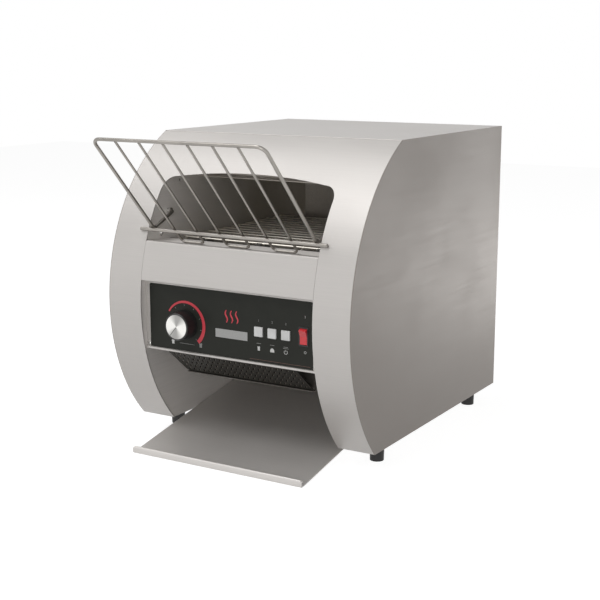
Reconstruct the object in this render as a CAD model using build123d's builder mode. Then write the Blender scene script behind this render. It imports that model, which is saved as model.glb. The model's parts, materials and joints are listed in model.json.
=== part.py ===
from build123d import *
from math import asin, atan2, ceil, cos, degrees, hypot, pi, radians, sin, sqrt, tan
import os

# A countertop conveyor toaster. Bread slides down a wire rack onto a wire belt, is carried
# back between two banks of heating elements, drops down a curved chute behind the belt and
# comes out on a tray at the front. All sizes in mm. +Z is up, the front faces -Y, and the
# origin lies on the counter, under the middle of the whole toaster.
#
# A "depth" is measured forward from the rear plane, a "height" up from the side panels'
# bottom edge. Places follow from the casing inward: the control panel from the bowed front,
# the belt from the top cover, and what stands beside or above them from those.

# ---------------------------------------------------------------- casing
body_width = 368  # over the two side panels
body_height = 392  # from the panels' bottom edge to the top cover
foot_height = 25
front_centre_height = 171  # the bowed front is a single arc, seen from the side
arc_past_top = 29  # the arc's full circle would stand this far above the top cover
front_centre_depth = 213
sheet = 1.2  # panels, walls and liners
shroud_sheet = 1.5  # the curved front
panel_round = 0.8  # outer edges of the folded casing
fit_gap = 0.3  # between pieces that seat against each other
running_gap = 0.05  # radial, between a shaft and what it turns in

# ---------------------------------------------------------------- chamber
side_room = 49.6  # between a side panel and the inner wall beside it
opening_step = 1  # the front's opening stands this far inside the inner walls
crown_drop = 46.6  # top cover down to the crown of the arched feed opening
shoulder_drop = 10.1  # crown down to where it meets the sides of the opening
opening_corner = 16
ceiling_drop = 24  # top cover down to the upper reflector
mouth_drop = 38  # upper reflector down to the lower edge of the chamber's front plate
bread_room = 77  # that edge down to the belt
hood_setback = 125  # control panel's face back to the chamber's front plate
hood_hem = (6, 4)  # reach and rise of that plate's turned lower edge
hood_turn = 12
liner_bend = 3
floor_setback = 115  # control panel's face back to where the base's middle begins
pan_hem = 1.1  # raised hem along the front of the base's middle
spare_hole = 2.2
spare_hole_drop = 63
spare_hole_setback = 81

# ---------------------------------------------------------------- front
panel_over_belt = 3  # rolled upper edge of the curved front panel, above the belt
panel_height = 51
panel_roll = 3
control_setback = 10.7  # curved panel's lower edge back to the control panel's face
control_height = 93
lip_reach = 3  # how far the control panel's lower lip stands forward
lip_height = 2.6
overlay_sheet = 0.6
overlay_side = 8.6  # inner wall to the overlay
overlay_top = 8  # curved panel's lower edge down to the overlay
overlay_bottom = 3  # control panel's lower edge up to the overlay
overlay_corner = 2
vent_side = 33  # inner wall to the vent plate
vent_drop = 37  # control panel's lower edge down to the sloping vent plate's
vent_reach = 44  # how far the vent plate runs back
vent_sheet = 1.0
vent_corner = 4
vent_rows = 5
vent_columns = 24
vent_margin = 4
vent_slot_length = 5.6
vent_slot_width = 2.2
vent_slot_lean = 25
shield_setback = 50  # control panel's face back to the shield behind the controls
shield_below = 2  # vent plate down to the shield's foot
shield_foot = 6
shield_turn = 12
sheet_bend = 2
ledge_lap = 10.1  # curved panel's upper edge back to the front of the ledge
ledge_step = 0.5  # ledge above the belt
ledge_skirt = 14
ledge_turn = 8
ledge_bend = 1.6
ledge_gap = 2  # ledge's rear turn to the belt

# ---------------------------------------------------------------- controls
knob_side = 55.4  # overlay's left edge to the knob
knob_rise = 39  # control panel's lower edge up to the knob
knob_radius = 18
knob_reach = 21  # how far the knob's face stands off the control panel
knob_clearance = 0.8  # between the knob's skirt and the overlay
knob_flare = 1.2
knob_rim = 2
knob_round = 1
knob_wall = 2.8
face_sheet = 0.9  # aluminium disc let into the knob
control_shaft_radius = 3.0
control_bush_radius = 4.8
bush_reach = 5
control_nut = 7.2
control_nut_height = 2.2
control_can_radius = 12
control_can_length = 16
button_count = 3
button_pitch = 20
button_side = 26  # rocker to the nearest button
button_rise = 42.5  # control panel's lower edge up to the buttons
button_size = 12.6
button_reach = 1.6  # how far a button stands off the overlay
button_travel = 1.5
button_slack = 0.25  # round a button in its hole
button_flange = 1.2
button_corner = 1
button_lap = 1  # how far the flange laps behind the panel on each side
board_margin = 13
board_height = 45
board_sheet = 1.6
key_height = 3.6
key_size = 6
post_radius = 2.6
post_inset = 3
rocker_side = 11.4  # overlay's right edge to the rocker
rocker_rise = 44
rocker_width = 10
rocker_height = 20.5
rocker_swing = 24  # degrees between off and on
rocker_face = 2.8  # of the rocker's two faces in front of its pin
rocker_pin = 1.2
rocker_slack = 0.35
rocker_set = 1  # control panel's face back to the rocker's pin
rocker_back = 2.6  # of the rocker behind its pin
rocker_bezel = 1.6
bezel_sheet = 1
rocker_depth = 22  # body of the switch behind the control panel
rocker_collar = 9  # how deep the switch is open for the rocker
rocker_wall = 0.8

# ---------------------------------------------------------------- feed rack
rack_tilt = 46.5  # degrees from the horizontal
rack_length = 168.5  # cross bar to top bar
rack_side = 8  # inner wall to the rack's legs
frame_wire = 4.5
frame_sides = 16  # of the frame wire's section, so close to round
rack_wire = 3.2
wire_sides = 10
wire_pairs = 3
cross_wire = 4.7
bar_overhang = 10  # of the cross bar past the inner walls
bar_rise = 18  # belt up to the cross bar, which rests on the curved front
bar_chamfer = 0.9
rack_corner = 12
leg_corner = 7
pivot_corner = 3
loop_corner = 6
frame_drop = 3  # cross bar down to where the frame's legs turn back
pivot_setback = 53  # control panel's face back to the studs that the rack hangs from
pivot_rise = 37  # belt up to those studs
stud_radius = 4.2
stud_length = 5
weld = 0.3  # how far welded wires sink into each other

# ---------------------------------------------------------------- belt and shafts
link_pitch = 19.05
sprocket_teeth = 8
span_links = 13  # belt links between the two shafts
belt_wire = 2.6
belt_side = 5  # inner wall to the belt
belt_clearance = 7.7  # shield behind the controls back to the belt
link_inset = 4  # belt's edge in to its outer links
link_beside = 14  # a rail's middle out to the links beside it
link_stagger = 2  # neighbouring links lie this far to either side
link_wire = 1.8
hook_gap = 0.35  # between a belt link and the wire it hooks over
shaft_radius = 5
shaft_past = 5  # how far a shaft stands past its bearings' wall
sprocket_width = 8
sprocket_inset = 35  # belt's edge in to the outer sprockets
tooth_rise = 2.6  # how far a tooth stands above the belt's pitch line
tooth_root = 10
tooth_tip = 6
tooth_sink = 1  # how far teeth reach into their wheel's body
rail_width = 10
rail_height = 4
rail_bar = 6
rail_end = 10
bar_inset = 11
bearing_radius = 8
bearing_flange = 11
bearing_inside = 2
bearing_thick = 4

# ---------------------------------------------------------------- chain drive
chain_pitch = 9.525
chain_links = 40
driven_teeth = 24  # twice the driving teeth
driving_teeth = 12
roller_radius = 2.54
chain_plate = 1.25
plate_height = 7.2
chain_roller_width = 4.8
chain_tooth_rise = 2.4
chain_tooth_root = 4.4
chain_tooth_tip = 1.8
chain_room = 9.3  # left inner wall to the middle of the chain
chain_lean = 20  # degrees forward of straight down, from the driven to the driving sprocket
motor_shaft_radius = 4
gearbox_room = 9  # middle of the chain to the gearbox's bracket
gearbox_length = 58
gearbox_height = 66
gearbox_corner = 8
gearbox_forward = 4  # output shaft forward to the gearbox's middle
gearbox_drop = 10  # output shaft down to the gearbox's middle
gearbox_clearance = 4.1  # gearbox to the side panel
motor_clearance = 1.1
motor_drop = 24  # output shaft down to the motor
motor_length = 62
motor_cap_radius = 5
motor_cap_length = 3
bracket_foot = 12
bracket_height = 62
bracket_drop = 38  # output shaft down to the bracket's lower edge
bracket_behind = 43  # output shaft back to the bracket's rear leg

# ---------------------------------------------------------------- heating
element_radius = 5
element_end = 14  # square ceramic ends, held in the inner walls
element_end_inside = 4  # how far an end stands into the chamber
element_end_outside = 9
terminal_stud = 2
terminal_length = 6
element_count = 3  # above the belt, and as many below
upper_element_drop = 14
upper_element_setback = 40
upper_element_pitch = 82
lower_element_drop = 19
lower_element_setback = 62
lower_element_pitch = 62
reflector_margin = 8  # belt's inner run to the reflector between the elements and it
reflector_turn = 12
reflector_bend = 4
under_gap = 10  # belt down to the shield under it
under_short = 6  # of the drive shaft, where that shield turns down
under_past = 4  # how far it ends behind the shaft
under_turn = 8
under_bend = 6

# ---------------------------------------------------------------- tray and chute
tray_overhang = 34  # of the tray in front of the control panel
tray_back = 122  # rear plane to the tray's rear end
tray_lip = 6.5
tray_lip_lean = 1.5
tray_lift = 0.3  # clear of the counter at its front edge
tray_bend = 2
chute_step = 1.5  # from the chute down onto the tray
chute_depth = 34
chute_bend = 100
chute_gap = 1  # tray's rear end back to the chute's
chute_lap = 6  # how far the chute reaches above the chamber's mouth

# ---------------------------------------------------------------- rear and cooling
gland_reach = 10  # how far the cord gland stands out at the rear
gland_bore = 5
gland_thread = 8
gland_collar = 3
gland_inside = 12
gland_flange = 12
gland_side = 26  # side panel in to the gland, and to the louvres above it
gland_height = 45
louvre_height = 250
louvre_pitch = 11
louvre_count = 9
louvre_width = 30
louvre_slot = 4
fan_height = 300
fan_size = 80
fan_depth = 25
fan_corner = 5
fan_bore = 37.5
fan_bore_room = 0.5  # round the blades' circle
fan_front_room = 3  # rotor to the frame's front face
fan_hub = 17
fan_spider = 3
fan_arm = 4
fan_pin = 2
fan_blades = 7
blade_length = 20
blade_chord = 18
blade_sheet = 1.6
blade_pitch = 40
grille_rows = 4  # above and below the middle one
grille_pitch = 7.6
grille_slot = 4.4

# ---------------------------------------------------------------- inside the right compartment
relay_length = 38
relay_height = 48
relay_reach = 30
relay_depths = (170, 220)
relay_place_height = 90
terminal_size = (66, 26)
terminal_reach = 16
terminal_depth = 90
terminal_height = 70
terminal_ways = 5
thermostat_radius = 9
thermostat_reach = 12
thermostat_setback = 92  # chamber's front plate back to the thermostat
thermostat_drop = 41  # upper reflector down to the thermostat

# ---------------------------------------------------------------- feet and fasteners
foot_side = 23  # side panel in to the feet
foot_front = 105  # control panel's face back to the front feet
foot_rear = 45
foot_top_radius = 10
foot_bottom_radius = 9.25
foot_stud = 2.5
foot_nut = 4.6
foot_nut_height = 4
stud_end = 2
wall_screw_radius = 4
wall_screw_height = 2.2
wall_screw_setback = 35.4
wall_screw_rise = 9

# ---------------------------------------------------------------- heights and depths
front_radius = body_height + arc_past_top - front_centre_height
ceiling_height = body_height - ceiling_drop
chamber_mouth = ceiling_height - mouth_drop
belt_height = chamber_mouth - bread_room  # upper face of the belt
panel_high = belt_height + panel_over_belt
panel_low = panel_high - panel_height
control_low = panel_low - control_height
overlay_low = control_low + overlay_bottom
overlay_high = panel_low - overlay_top
vent_low = control_low - vent_drop
opening_top = body_height - crown_drop
opening_shoulder = opening_top - shoulder_drop


def bow_depth(height, outward=0):
    """Depth of the bowed front at this height, or of a line that runs outside it."""
    return front_centre_depth + sqrt((front_radius + outward) ** 2 - (height - front_centre_height) ** 2)


control_depth = bow_depth(panel_low) - control_setback
shield_depth = control_depth - shield_setback
hood_depth = control_depth - hood_setback
floor_start = control_depth - floor_setback
tray_reach = control_depth + tray_overhang
belt_radius = sprocket_teeth * link_pitch / (2 * pi)
idler_depth = shield_depth - belt_clearance - belt_radius
cross_height = belt_height + bar_rise
cross_depth = bow_depth(cross_height, cross_wire / 2 + running_gap)
frame_behind = (cross_wire + frame_wire) / 2 - weld
wire_behind = (cross_wire + rack_wire) / 2 - weld
rack_reach = (
    cross_depth
    + rack_length * cos(radians(rack_tilt))
    - frame_behind * sin(radians(rack_tilt))
    + frame_wire / 2
)

# ---------------------------------------------------------------- places in the toaster's own frame
y_rear = (rack_reach - gland_reach) / 2
z_body = foot_height
z_top = z_body + body_height
z_cover = z_top - sheet
half_inside = body_width / 2 - sheet
half_chamber = half_inside - side_room - sheet
half_liner = half_chamber - fit_gap
opening_half = half_chamber - opening_step
wall_back = half_chamber + sheet
arc_y = y_rear - front_centre_depth
arc_z = z_body + front_centre_height


def at_depth(depth):
    """Y of a place that lies this far forward of the rear plane."""
    return y_rear - depth


def at_height(height):
    """Z of a place this high above the panels' bottom edge."""
    return z_body + height


def front_y(z, inset=0):
    """Y of the bowed front at height z, this far inside its outer face."""
    return arc_y - sqrt((front_radius - inset) ** 2 - (z - arc_z) ** 2)


def bow(z_low, z_high, inset=0):
    """The stretch of the bowed front between two heights, as an arc in the YZ plane."""
    z_middle = (z_low + z_high) / 2
    return ThreePointArc(
        (front_y(z_low, inset), z_low),
        (front_y(z_middle, inset), z_middle),
        (front_y(z_high, inset), z_high),
    )


def facing_front(depth):
    """A sketch plane across the toaster, its local X to the right and its local Y up."""
    return Plane(origin=(0, at_depth(depth), 0), x_dir=(1, 0, 0), z_dir=(0, -1, 0))


def from_side(x):
    """A sketch plane along the toaster at this X, with local axes Y and Z."""
    return Plane.YZ.offset(x)


def both_sides(x, places):
    """The same places on the left and on the right of the toaster."""
    return [(side * x, place) for side in (-1, 1) for place in places]


y_control = at_depth(control_depth)
y_floor = at_depth(floor_start)
ledge_top = at_height(belt_height) + ledge_step
ledge_front = front_y(at_height(panel_high)) + ledge_lap
shaft_height = at_height(belt_height) - belt_wire / 2 - belt_radius
idler_place = (at_depth(idler_depth), shaft_height)
drive_place = (at_depth(idler_depth) + span_links * link_pitch, shaft_height)
shaft_places = (idler_place, drive_place)
ledge_back = idler_place[0] - belt_radius - belt_wire - ledge_gap

overlay_half = half_chamber - overlay_side
vent_half = half_chamber - vent_side
knob_place = (knob_side - overlay_half, at_height(control_low + knob_rise))
rocker_place = (overlay_half - rocker_side, at_height(control_low + rocker_rise))
last_button = rocker_place[0] - button_side
button_z = at_height(control_low + button_rise)
button_places = [(last_button - n * button_pitch, button_z) for n in reversed(range(button_count))]
rocker_hole = (rocker_width + 2 * rocker_slack, rocker_height + 2 * rocker_slack)
rocker_body = (rocker_hole[0] + 2 * rocker_wall, rocker_hole[1] + 2 * rocker_wall)

belt_half = half_chamber - belt_side
sprocket_x = belt_half - sprocket_inset
rail_x = sprocket_x / 2
chain_x = -wall_back - chain_room
rack_half = half_chamber - rack_side
wire_pitch = 2 * rack_half / (2 * wire_pairs + 1)


def element_row(first, pitch, height):
    """Places of a bank of elements, from the front to the rear."""
    return [(at_depth(first - n * pitch), at_height(height)) for n in range(element_count)]


upper_element_places = element_row(
    hood_depth - upper_element_setback, upper_element_pitch, ceiling_height - upper_element_drop
)
lower_element_places = element_row(
    idler_depth - lower_element_setback, lower_element_pitch, belt_height - lower_element_drop
)
element_places = upper_element_places + lower_element_places
pivot_place = (at_depth(control_depth - pivot_setback), at_height(belt_height + pivot_rise))
wall_screw_place = (
    at_depth(control_depth - wall_screw_setback),
    at_height(belt_height + wall_screw_rise),
)
spare_hole_place = (
    at_depth(control_depth - spare_hole_setback),
    at_height(body_height - spare_hole_drop),
)
foot_depths = (control_depth - foot_front, foot_rear)
foot_x = body_width / 2 - foot_side
foot_places = [(side * foot_x, at_depth(depth)) for side in (-1, 1) for depth in foot_depths]
fan_place = (0, at_height(fan_height))
louvre_x = body_width / 2 - gland_side
gland_place = (louvre_x, at_height(gland_height))

# ---------------------------------------------------------------- casing
pan_front = front_y(z_body, shroud_sheet) + fit_gap
with BuildPart() as base_pan:
    with BuildSketch(Plane.XY.offset(z_body)):
        with BuildLine():
            outline = Polyline(
                (half_inside, y_rear - sheet),
                (half_inside, pan_front),
                (wall_back, pan_front),
                (wall_back, y_floor),
                (0, y_floor),
            )
            mirror(outline, about=Plane.YZ)
            Line((half_inside, y_rear - sheet), (-half_inside, y_rear - sheet))
        make_face()
        with Locations(*foot_places):
            Circle(foot_stud + fit_gap, mode=Mode.SUBTRACT)
    extrude(amount=sheet)
    with BuildSketch(Plane.XY.offset(z_body + sheet)):
        with Locations((0, y_floor)):
            Rectangle(2 * half_liner, 2 * sheet, align=(Align.CENTER, Align.MIN))
    extrude(amount=pan_hem)


def make_side_panel(side):
    """Flat outer panel, its front edge bowed with the shroud."""
    with BuildPart() as panel:
        with BuildSketch(from_side(side * half_inside)):
            with BuildLine():
                edge = bow(z_body, z_top)
                Polyline(edge @ 1, (y_rear, z_top), (y_rear, z_body), edge @ 0)
            make_face()
        extrude(amount=side * sheet)
        front_edges = panel.edges().filter_by(GeomType.CIRCLE).sort_by(Axis.X)
        chamfer(front_edges[-1] if side > 0 else front_edges[0], length=panel_round / 2)
    return panel


left_side_panel = make_side_panel(-1)
right_side_panel = make_side_panel(1)

with BuildPart() as top_cover:
    with BuildSketch(Plane.XY.offset(z_cover)):
        with BuildLine():
            Polyline(
                (-half_inside, front_y(z_top)),
                (half_inside, front_y(z_top)),
                (half_inside, y_rear),
                (-half_inside, y_rear),
                close=True,
            )
        make_face()
    extrude(amount=sheet)
    crease = top_cover.edges().filter_by(Axis.X).group_by(Axis.Z)[-1].sort_by(Axis.Y)[0]
    fillet(crease, radius=panel_round)

with BuildPart() as front_shroud:
    with BuildSketch(Plane.YZ):
        with BuildLine():
            bow(z_body - 2 * shroud_sheet, z_cover + 2 * shroud_sheet, shroud_sheet / 2)
        trace(line_width=shroud_sheet)
    extrude(amount=half_inside, both=True)
    with BuildSketch(facing_front(rack_reach)) as feed_cut:
        with BuildLine():
            crown = ThreePointArc(
                (-opening_half, at_height(opening_shoulder)),
                (0, at_height(opening_top)),
                (opening_half, at_height(opening_shoulder)),
            )
            Polyline(crown @ 1, (opening_half, 0), (-opening_half, 0), crown @ 0)
        make_face()
        fillet(feed_cut.vertices().group_by(Axis.Y)[-1], radius=opening_corner)
    extrude(amount=-front_centre_depth, mode=Mode.SUBTRACT)
    for z_cut, way in ((z_body, -1), (z_cover, 1)):
        with BuildSketch(Plane.XY.offset(z_cut)):
            with Locations((0, arc_y - front_radius / 2)):
                Rectangle(body_width, 2 * front_radius)
        extrude(amount=way * foot_height, mode=Mode.SUBTRACT)

with BuildPart() as rear_panel:
    with BuildSketch(facing_front(0)):
        with Locations((0, (z_body + z_cover) / 2)):
            Rectangle(2 * half_inside, z_cover - z_body)
        for row in range(-grille_rows, grille_rows + 1):
            rise = row * grille_pitch
            with Locations((fan_place[0], fan_place[1] + rise)):
                Rectangle(2 * sqrt(fan_bore**2 - rise**2) - 2, grille_slot, mode=Mode.SUBTRACT)
        with Locations(*both_sides(louvre_x, [at_height(louvre_height)])):
            with GridLocations(0, louvre_pitch, 1, louvre_count):
                Rectangle(louvre_width, louvre_slot, mode=Mode.SUBTRACT)
        with Locations(gland_place):
            Circle(gland_thread + fit_gap, mode=Mode.SUBTRACT)
    extrude(amount=sheet)


def make_inner_wall(side):
    """Wall between the chamber and a side compartment, drilled for shafts and elements."""
    with BuildPart() as wall:
        with BuildSketch(from_side(side * half_chamber)):
            with BuildLine():
                edge = bow(z_body, z_cover, shroud_sheet + fit_gap)
                Polyline(
                    edge @ 1,
                    (y_rear - sheet, z_cover),
                    (y_rear - sheet, z_body + sheet),
                    (y_floor, z_body + sheet),
                    (y_floor, z_body),
                    edge @ 0,
                )
            make_face()
            with Locations(*shaft_places):
                Circle(bearing_radius + running_gap, mode=Mode.SUBTRACT)
            with Locations(*element_places):
                Rectangle(element_end + fit_gap, element_end + fit_gap, mode=Mode.SUBTRACT)
            with Locations(spare_hole_place):
                Circle(spare_hole, mode=Mode.SUBTRACT)
        extrude(amount=side * sheet)
    return wall


left_inner_wall = make_inner_wall(-1)
right_inner_wall = make_inner_wall(1)

# ---------------------------------------------------------------- front panels
with BuildPart() as front_panel:
    with BuildSketch(Plane.YZ):
        with BuildLine() as fold:
            face = bow(at_height(panel_low), at_height(panel_high), sheet / 2)
            Line(face @ 1, (ledge_front - fit_gap, at_height(panel_high) - panel_round))
            Line(face @ 0, (y_control + sheet, at_height(panel_low)))
            fillet(fold.vertices().sort_by_distance(face @ 1)[0], radius=panel_roll - sheet / 2)
            fillet(fold.vertices().sort_by_distance(face @ 0)[0], radius=sheet)
        trace(line_width=sheet)
    extrude(amount=opening_half - fit_gap, both=True)


def cut_control_holes():
    """Holes for the knob's bush, the buttons and the rocker, in a sketch that faces front."""
    button_hole = button_size + 2 * button_slack
    with Locations(knob_place):
        Circle(control_bush_radius + fit_gap, mode=Mode.SUBTRACT)
    with Locations(*button_places):
        Rectangle(button_hole, button_hole, mode=Mode.SUBTRACT)
    with Locations(rocker_place):
        Rectangle(rocker_body[0] + fit_gap, rocker_body[1] + fit_gap, mode=Mode.SUBTRACT)


panel_top = at_height(panel_low) - sheet / 2
with BuildPart() as control_panel:
    with BuildSketch(facing_front(control_depth)):
        with Locations((0, (at_height(control_low) + panel_top) / 2)):
            Rectangle(2 * half_liner, panel_top - at_height(control_low))
        cut_control_holes()
    extrude(amount=-sheet)
    with BuildSketch(Plane.YZ):
        with Locations((y_control, at_height(control_low))):
            Rectangle(lip_reach, lip_height, align=(Align.MAX, Align.MIN))
    extrude(amount=half_liner, both=True)
    fillet(control_panel.edges().filter_by(Axis.X).sort_by(Axis.Y)[0:2], radius=panel_round)

with BuildPart() as control_overlay:
    with BuildSketch(facing_front(control_depth)):
        with Locations((0, at_height((overlay_low + overlay_high) / 2))):
            RectangleRounded(2 * overlay_half, overlay_high - overlay_low, overlay_corner)
        cut_control_holes()
    extrude(amount=overlay_sheet)

vent_top = at_height(control_low) - fit_gap
vent_angle = degrees(atan2(vent_top - at_height(vent_low), vent_reach))
vent_length = hypot(vent_top - at_height(vent_low), vent_reach)
vent_plane = Plane(
    origin=(0, y_control + sheet + vent_reach / 2, (vent_top + at_height(vent_low)) / 2),
    x_dir=(1, 0, 0),
    z_dir=(0, -sin(radians(vent_angle)), -cos(radians(vent_angle))),
)

with BuildPart() as vent_plate:
    with BuildSketch(vent_plane):
        RectangleRounded(2 * vent_half, vent_length, vent_corner)
        lean = vent_slot_length / 2 * sin(radians(vent_slot_lean))
        rise = vent_slot_length / 2 * cos(radians(vent_slot_lean))
        half_slot = vent_slot_width / 2
        column_pitch = 2 * (vent_half - vent_margin) / vent_columns
        row_pitch = (vent_length - vent_margin) / vent_rows
        with GridLocations(column_pitch, row_pitch, vent_columns, vent_rows):
            Polygon(
                (-lean - half_slot, -rise),
                (-lean + half_slot, -rise),
                (lean + half_slot, rise),
                (lean - half_slot, rise),
                mode=Mode.SUBTRACT,
            )
    extrude(amount=-vent_sheet)

shield_y = at_depth(shield_depth) + sheet / 2
with BuildPart() as control_shield:
    with BuildSketch(Plane.YZ):
        with BuildLine():
            FilletPolyline(
                (shield_y - shield_foot, at_height(vent_low) - shield_below),
                (shield_y, at_height(vent_low) - shield_below),
                (shield_y, ledge_top - 2 * sheet - fit_gap),
                (shield_y - shield_turn, ledge_top - 2 * sheet - fit_gap),
                radius=sheet_bend,
            )
        trace(line_width=sheet)
    extrude(amount=half_liner, both=True)
    # Beside the vent plate the shield ends at the control panel's lower edge, in tabs turned forward.
    tab_front = y_control + sheet + fit_gap
    tab_back = shield_y + sheet / 2
    tab_places = both_sides((half_liner + vent_half) / 2, [(tab_front + tab_back) / 2])
    with BuildSketch(Plane.XY.offset(at_height(control_low))):
        with Locations(*tab_places):
            Rectangle(half_liner - vent_half, tab_back - tab_front)
    extrude(amount=-control_height, mode=Mode.SUBTRACT)
    with BuildSketch(Plane.XY.offset(at_height(control_low))):
        with Locations(*tab_places):
            Rectangle(half_liner - vent_half, tab_back - tab_front)
    extrude(amount=sheet)

with BuildPart() as entry_ledge:
    with BuildSketch(Plane.YZ):
        with BuildLine():
            FilletPolyline(
                (ledge_front + sheet / 2, ledge_top - ledge_skirt),
                (ledge_front + sheet / 2, ledge_top - sheet / 2),
                (ledge_back, ledge_top - sheet / 2),
                (ledge_back, ledge_top - ledge_turn),
                radius=ledge_bend,
            )
        trace(line_width=sheet)
    extrude(amount=half_liner, both=True)

# ---------------------------------------------------------------- toasting chamber
with BuildPart() as chamber_front_plate:
    with BuildSketch(Plane.YZ):
        with BuildLine():
            FilletPolyline(
                (at_depth(hood_depth) - hood_hem[0], at_height(chamber_mouth) + hood_hem[1]),
                (at_depth(hood_depth), at_height(chamber_mouth) + sheet / 2),
                (at_depth(hood_depth), z_cover - sheet / 2),
                (at_depth(hood_depth) + hood_turn, z_cover - sheet / 2),
                radius=sheet_bend,
            )
        trace(line_width=sheet)
    extrude(amount=half_liner, both=True)

reflector_front = at_depth(hood_depth) + sheet + fit_gap
with BuildPart() as upper_reflector:
    with BuildSketch(Plane.YZ):
        with BuildLine():
            FilletPolyline(
                (reflector_front, at_height(chamber_mouth)),
                (reflector_front, at_height(ceiling_height)),
                (at_depth(chute_depth), at_height(ceiling_height)),
                (at_depth(chute_depth), at_height(chamber_mouth) + chute_lap),
                radius=liner_bend,
            )
        trace(line_width=sheet)
    extrude(amount=half_liner, both=True)

reflector_low = shaft_height - belt_radius + reflector_margin
with BuildPart() as lower_reflector:
    with BuildSketch(Plane.YZ):
        with BuildLine():
            FilletPolyline(
                (idler_place[0] + belt_radius + reflector_margin, reflector_low + reflector_turn),
                (idler_place[0] + belt_radius + reflector_turn, reflector_low),
                (drive_place[0] - belt_radius - reflector_turn, reflector_low),
                (drive_place[0] - belt_radius - reflector_margin, reflector_low + reflector_turn),
                radius=reflector_bend,
            )
        trace(line_width=sheet)
    extrude(amount=half_liner, both=True)

under_z = shaft_height - belt_radius - under_gap
with BuildPart() as under_belt_shield:
    with BuildSketch(Plane.YZ):
        with BuildLine():
            FilletPolyline(
                (shield_y + sheet / 2 + fit_gap, under_z),
                (drive_place[0] - under_short, under_z),
                (drive_place[0] + under_past, under_z - under_turn),
                radius=under_bend,
            )
        trace(line_width=sheet)
    extrude(amount=half_liner, both=True)


def make_elements(places):
    """Straight quartz tubes that run between their ceramic ends."""
    with BuildPart() as bank:
        with BuildSketch(Plane.YZ):
            with Locations(*places):
                Circle(element_radius)
        extrude(amount=half_chamber - element_end_inside, both=True)
    return bank


upper_elements = make_elements(upper_element_places)
lower_elements = make_elements(lower_element_places)

with BuildPart() as element_ends:
    for side in (-1, 1):
        with BuildSketch(from_side(side * (half_chamber - element_end_inside))):
            with Locations(*element_places):
                Rectangle(element_end, element_end)
        extrude(amount=side * (element_end_inside + sheet + element_end_outside))
        with BuildSketch(from_side(side * (wall_back + element_end_outside))):
            with Locations(*element_places):
                RegularPolygon(terminal_stud, 6)
        extrude(amount=side * terminal_length)

# ---------------------------------------------------------------- conveyor
straight = span_links * link_pitch
belt_length = 2 * straight + 2 * pi * belt_radius
belt_links = round(belt_length / link_pitch)


def belt_point(place):
    """A point on the belt's pitch line, a number of links from above the idler shaft."""
    run = (place % belt_links) * link_pitch
    idler_y, drive_y = idler_place[0], drive_place[0]
    half_turn = pi * belt_radius
    if run <= straight:
        return (idler_y + run, shaft_height + belt_radius)
    if run <= straight + half_turn:
        turn = (run - straight) / belt_radius
        return (drive_y + belt_radius * sin(turn), shaft_height + belt_radius * cos(turn))
    if run <= 2 * straight + half_turn:
        return (drive_y - (run - straight - half_turn), shaft_height - belt_radius)
    turn = (run - 2 * straight - half_turn) / belt_radius
    return (idler_y - belt_radius * sin(turn), shaft_height - belt_radius * cos(turn))


def toward(start, end, distance):
    """The point on the way from start to end, this far from start."""
    share = distance / hypot(end[0] - start[0], end[1] - start[1])
    return (start[0] + (end[0] - start[0]) * share, start[1] + (end[1] - start[1]) * share)


link_places = [side * x for side in (-1, 1) for x in (belt_half - link_inset, rail_x + link_beside)]
with BuildPart() as conveyor_belt:
    with BuildSketch(Plane.YZ):
        for link in range(belt_links):
            with Locations(belt_point(link)):
                RegularPolygon(belt_wire / 2, 6)
    extrude(amount=belt_half, both=True)
    for parity, offset in ((0, -link_stagger), (1, link_stagger)):
        for x in link_places:
            with BuildSketch(from_side(x + offset)):
                with BuildLine():
                    for link in range(parity, belt_links, 2):
                        here, there = belt_point(link), belt_point(link + 1)
                        reach = hypot(there[0] - here[0], there[1] - here[1])
                        Line(here, toward(here, there, reach - belt_wire / 2 - hook_gap))
                trace(line_width=link_wire)
            extrude(amount=link_wire)


def sprocket_outline(teeth, pitch_radius, seat, tip_rise, first_seat, root_width, tip_width):
    """A toothed wheel: a tapered tooth half-way between each two seats of the pitch circle."""
    root = pitch_radius - seat
    tip = pitch_radius + tip_rise
    Circle(root)
    with PolarLocations(0, teeth, start_angle=first_seat + 180 / teeth):
        Polygon(
            (root - tooth_sink, -root_width / 2),
            (tip, -tip_width / 2),
            (tip, tip_width / 2),
            (root - tooth_sink, root_width / 2),
            align=None,
        )


def make_belt_sprockets(place):
    """Toothed wheels on one shaft, whose teeth stand between the belt's wires."""
    with BuildPart() as wheels:
        for x in (-sprocket_x, 0, sprocket_x):
            sketch_plane = Plane(origin=(x - sprocket_width / 2, *place), x_dir=(0, 1, 0), z_dir=(1, 0, 0))
            with BuildSketch(sketch_plane):
                seat = belt_wire / 2 + fit_gap
                sprocket_outline(sprocket_teeth, belt_radius, seat, tooth_rise, 90, tooth_root, tooth_tip)
                Circle(shaft_radius + running_gap, mode=Mode.SUBTRACT)
            extrude(amount=sprocket_width)
    return wheels


drive_sprockets = make_belt_sprockets(drive_place)
idler_sprockets = make_belt_sprockets(idler_place)

shaft_end = wall_back + shaft_past
chain_end = chain_x - shaft_past - 1
with BuildPart() as drive_shaft:
    with BuildSketch(from_side(chain_end)):
        with Locations(drive_place):
            Circle(shaft_radius)
    extrude(amount=shaft_end - chain_end)

with BuildPart() as idler_shaft:
    with BuildSketch(Plane.YZ):
        with Locations(idler_place):
            Circle(shaft_radius)
    extrude(amount=shaft_end, both=True)

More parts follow.
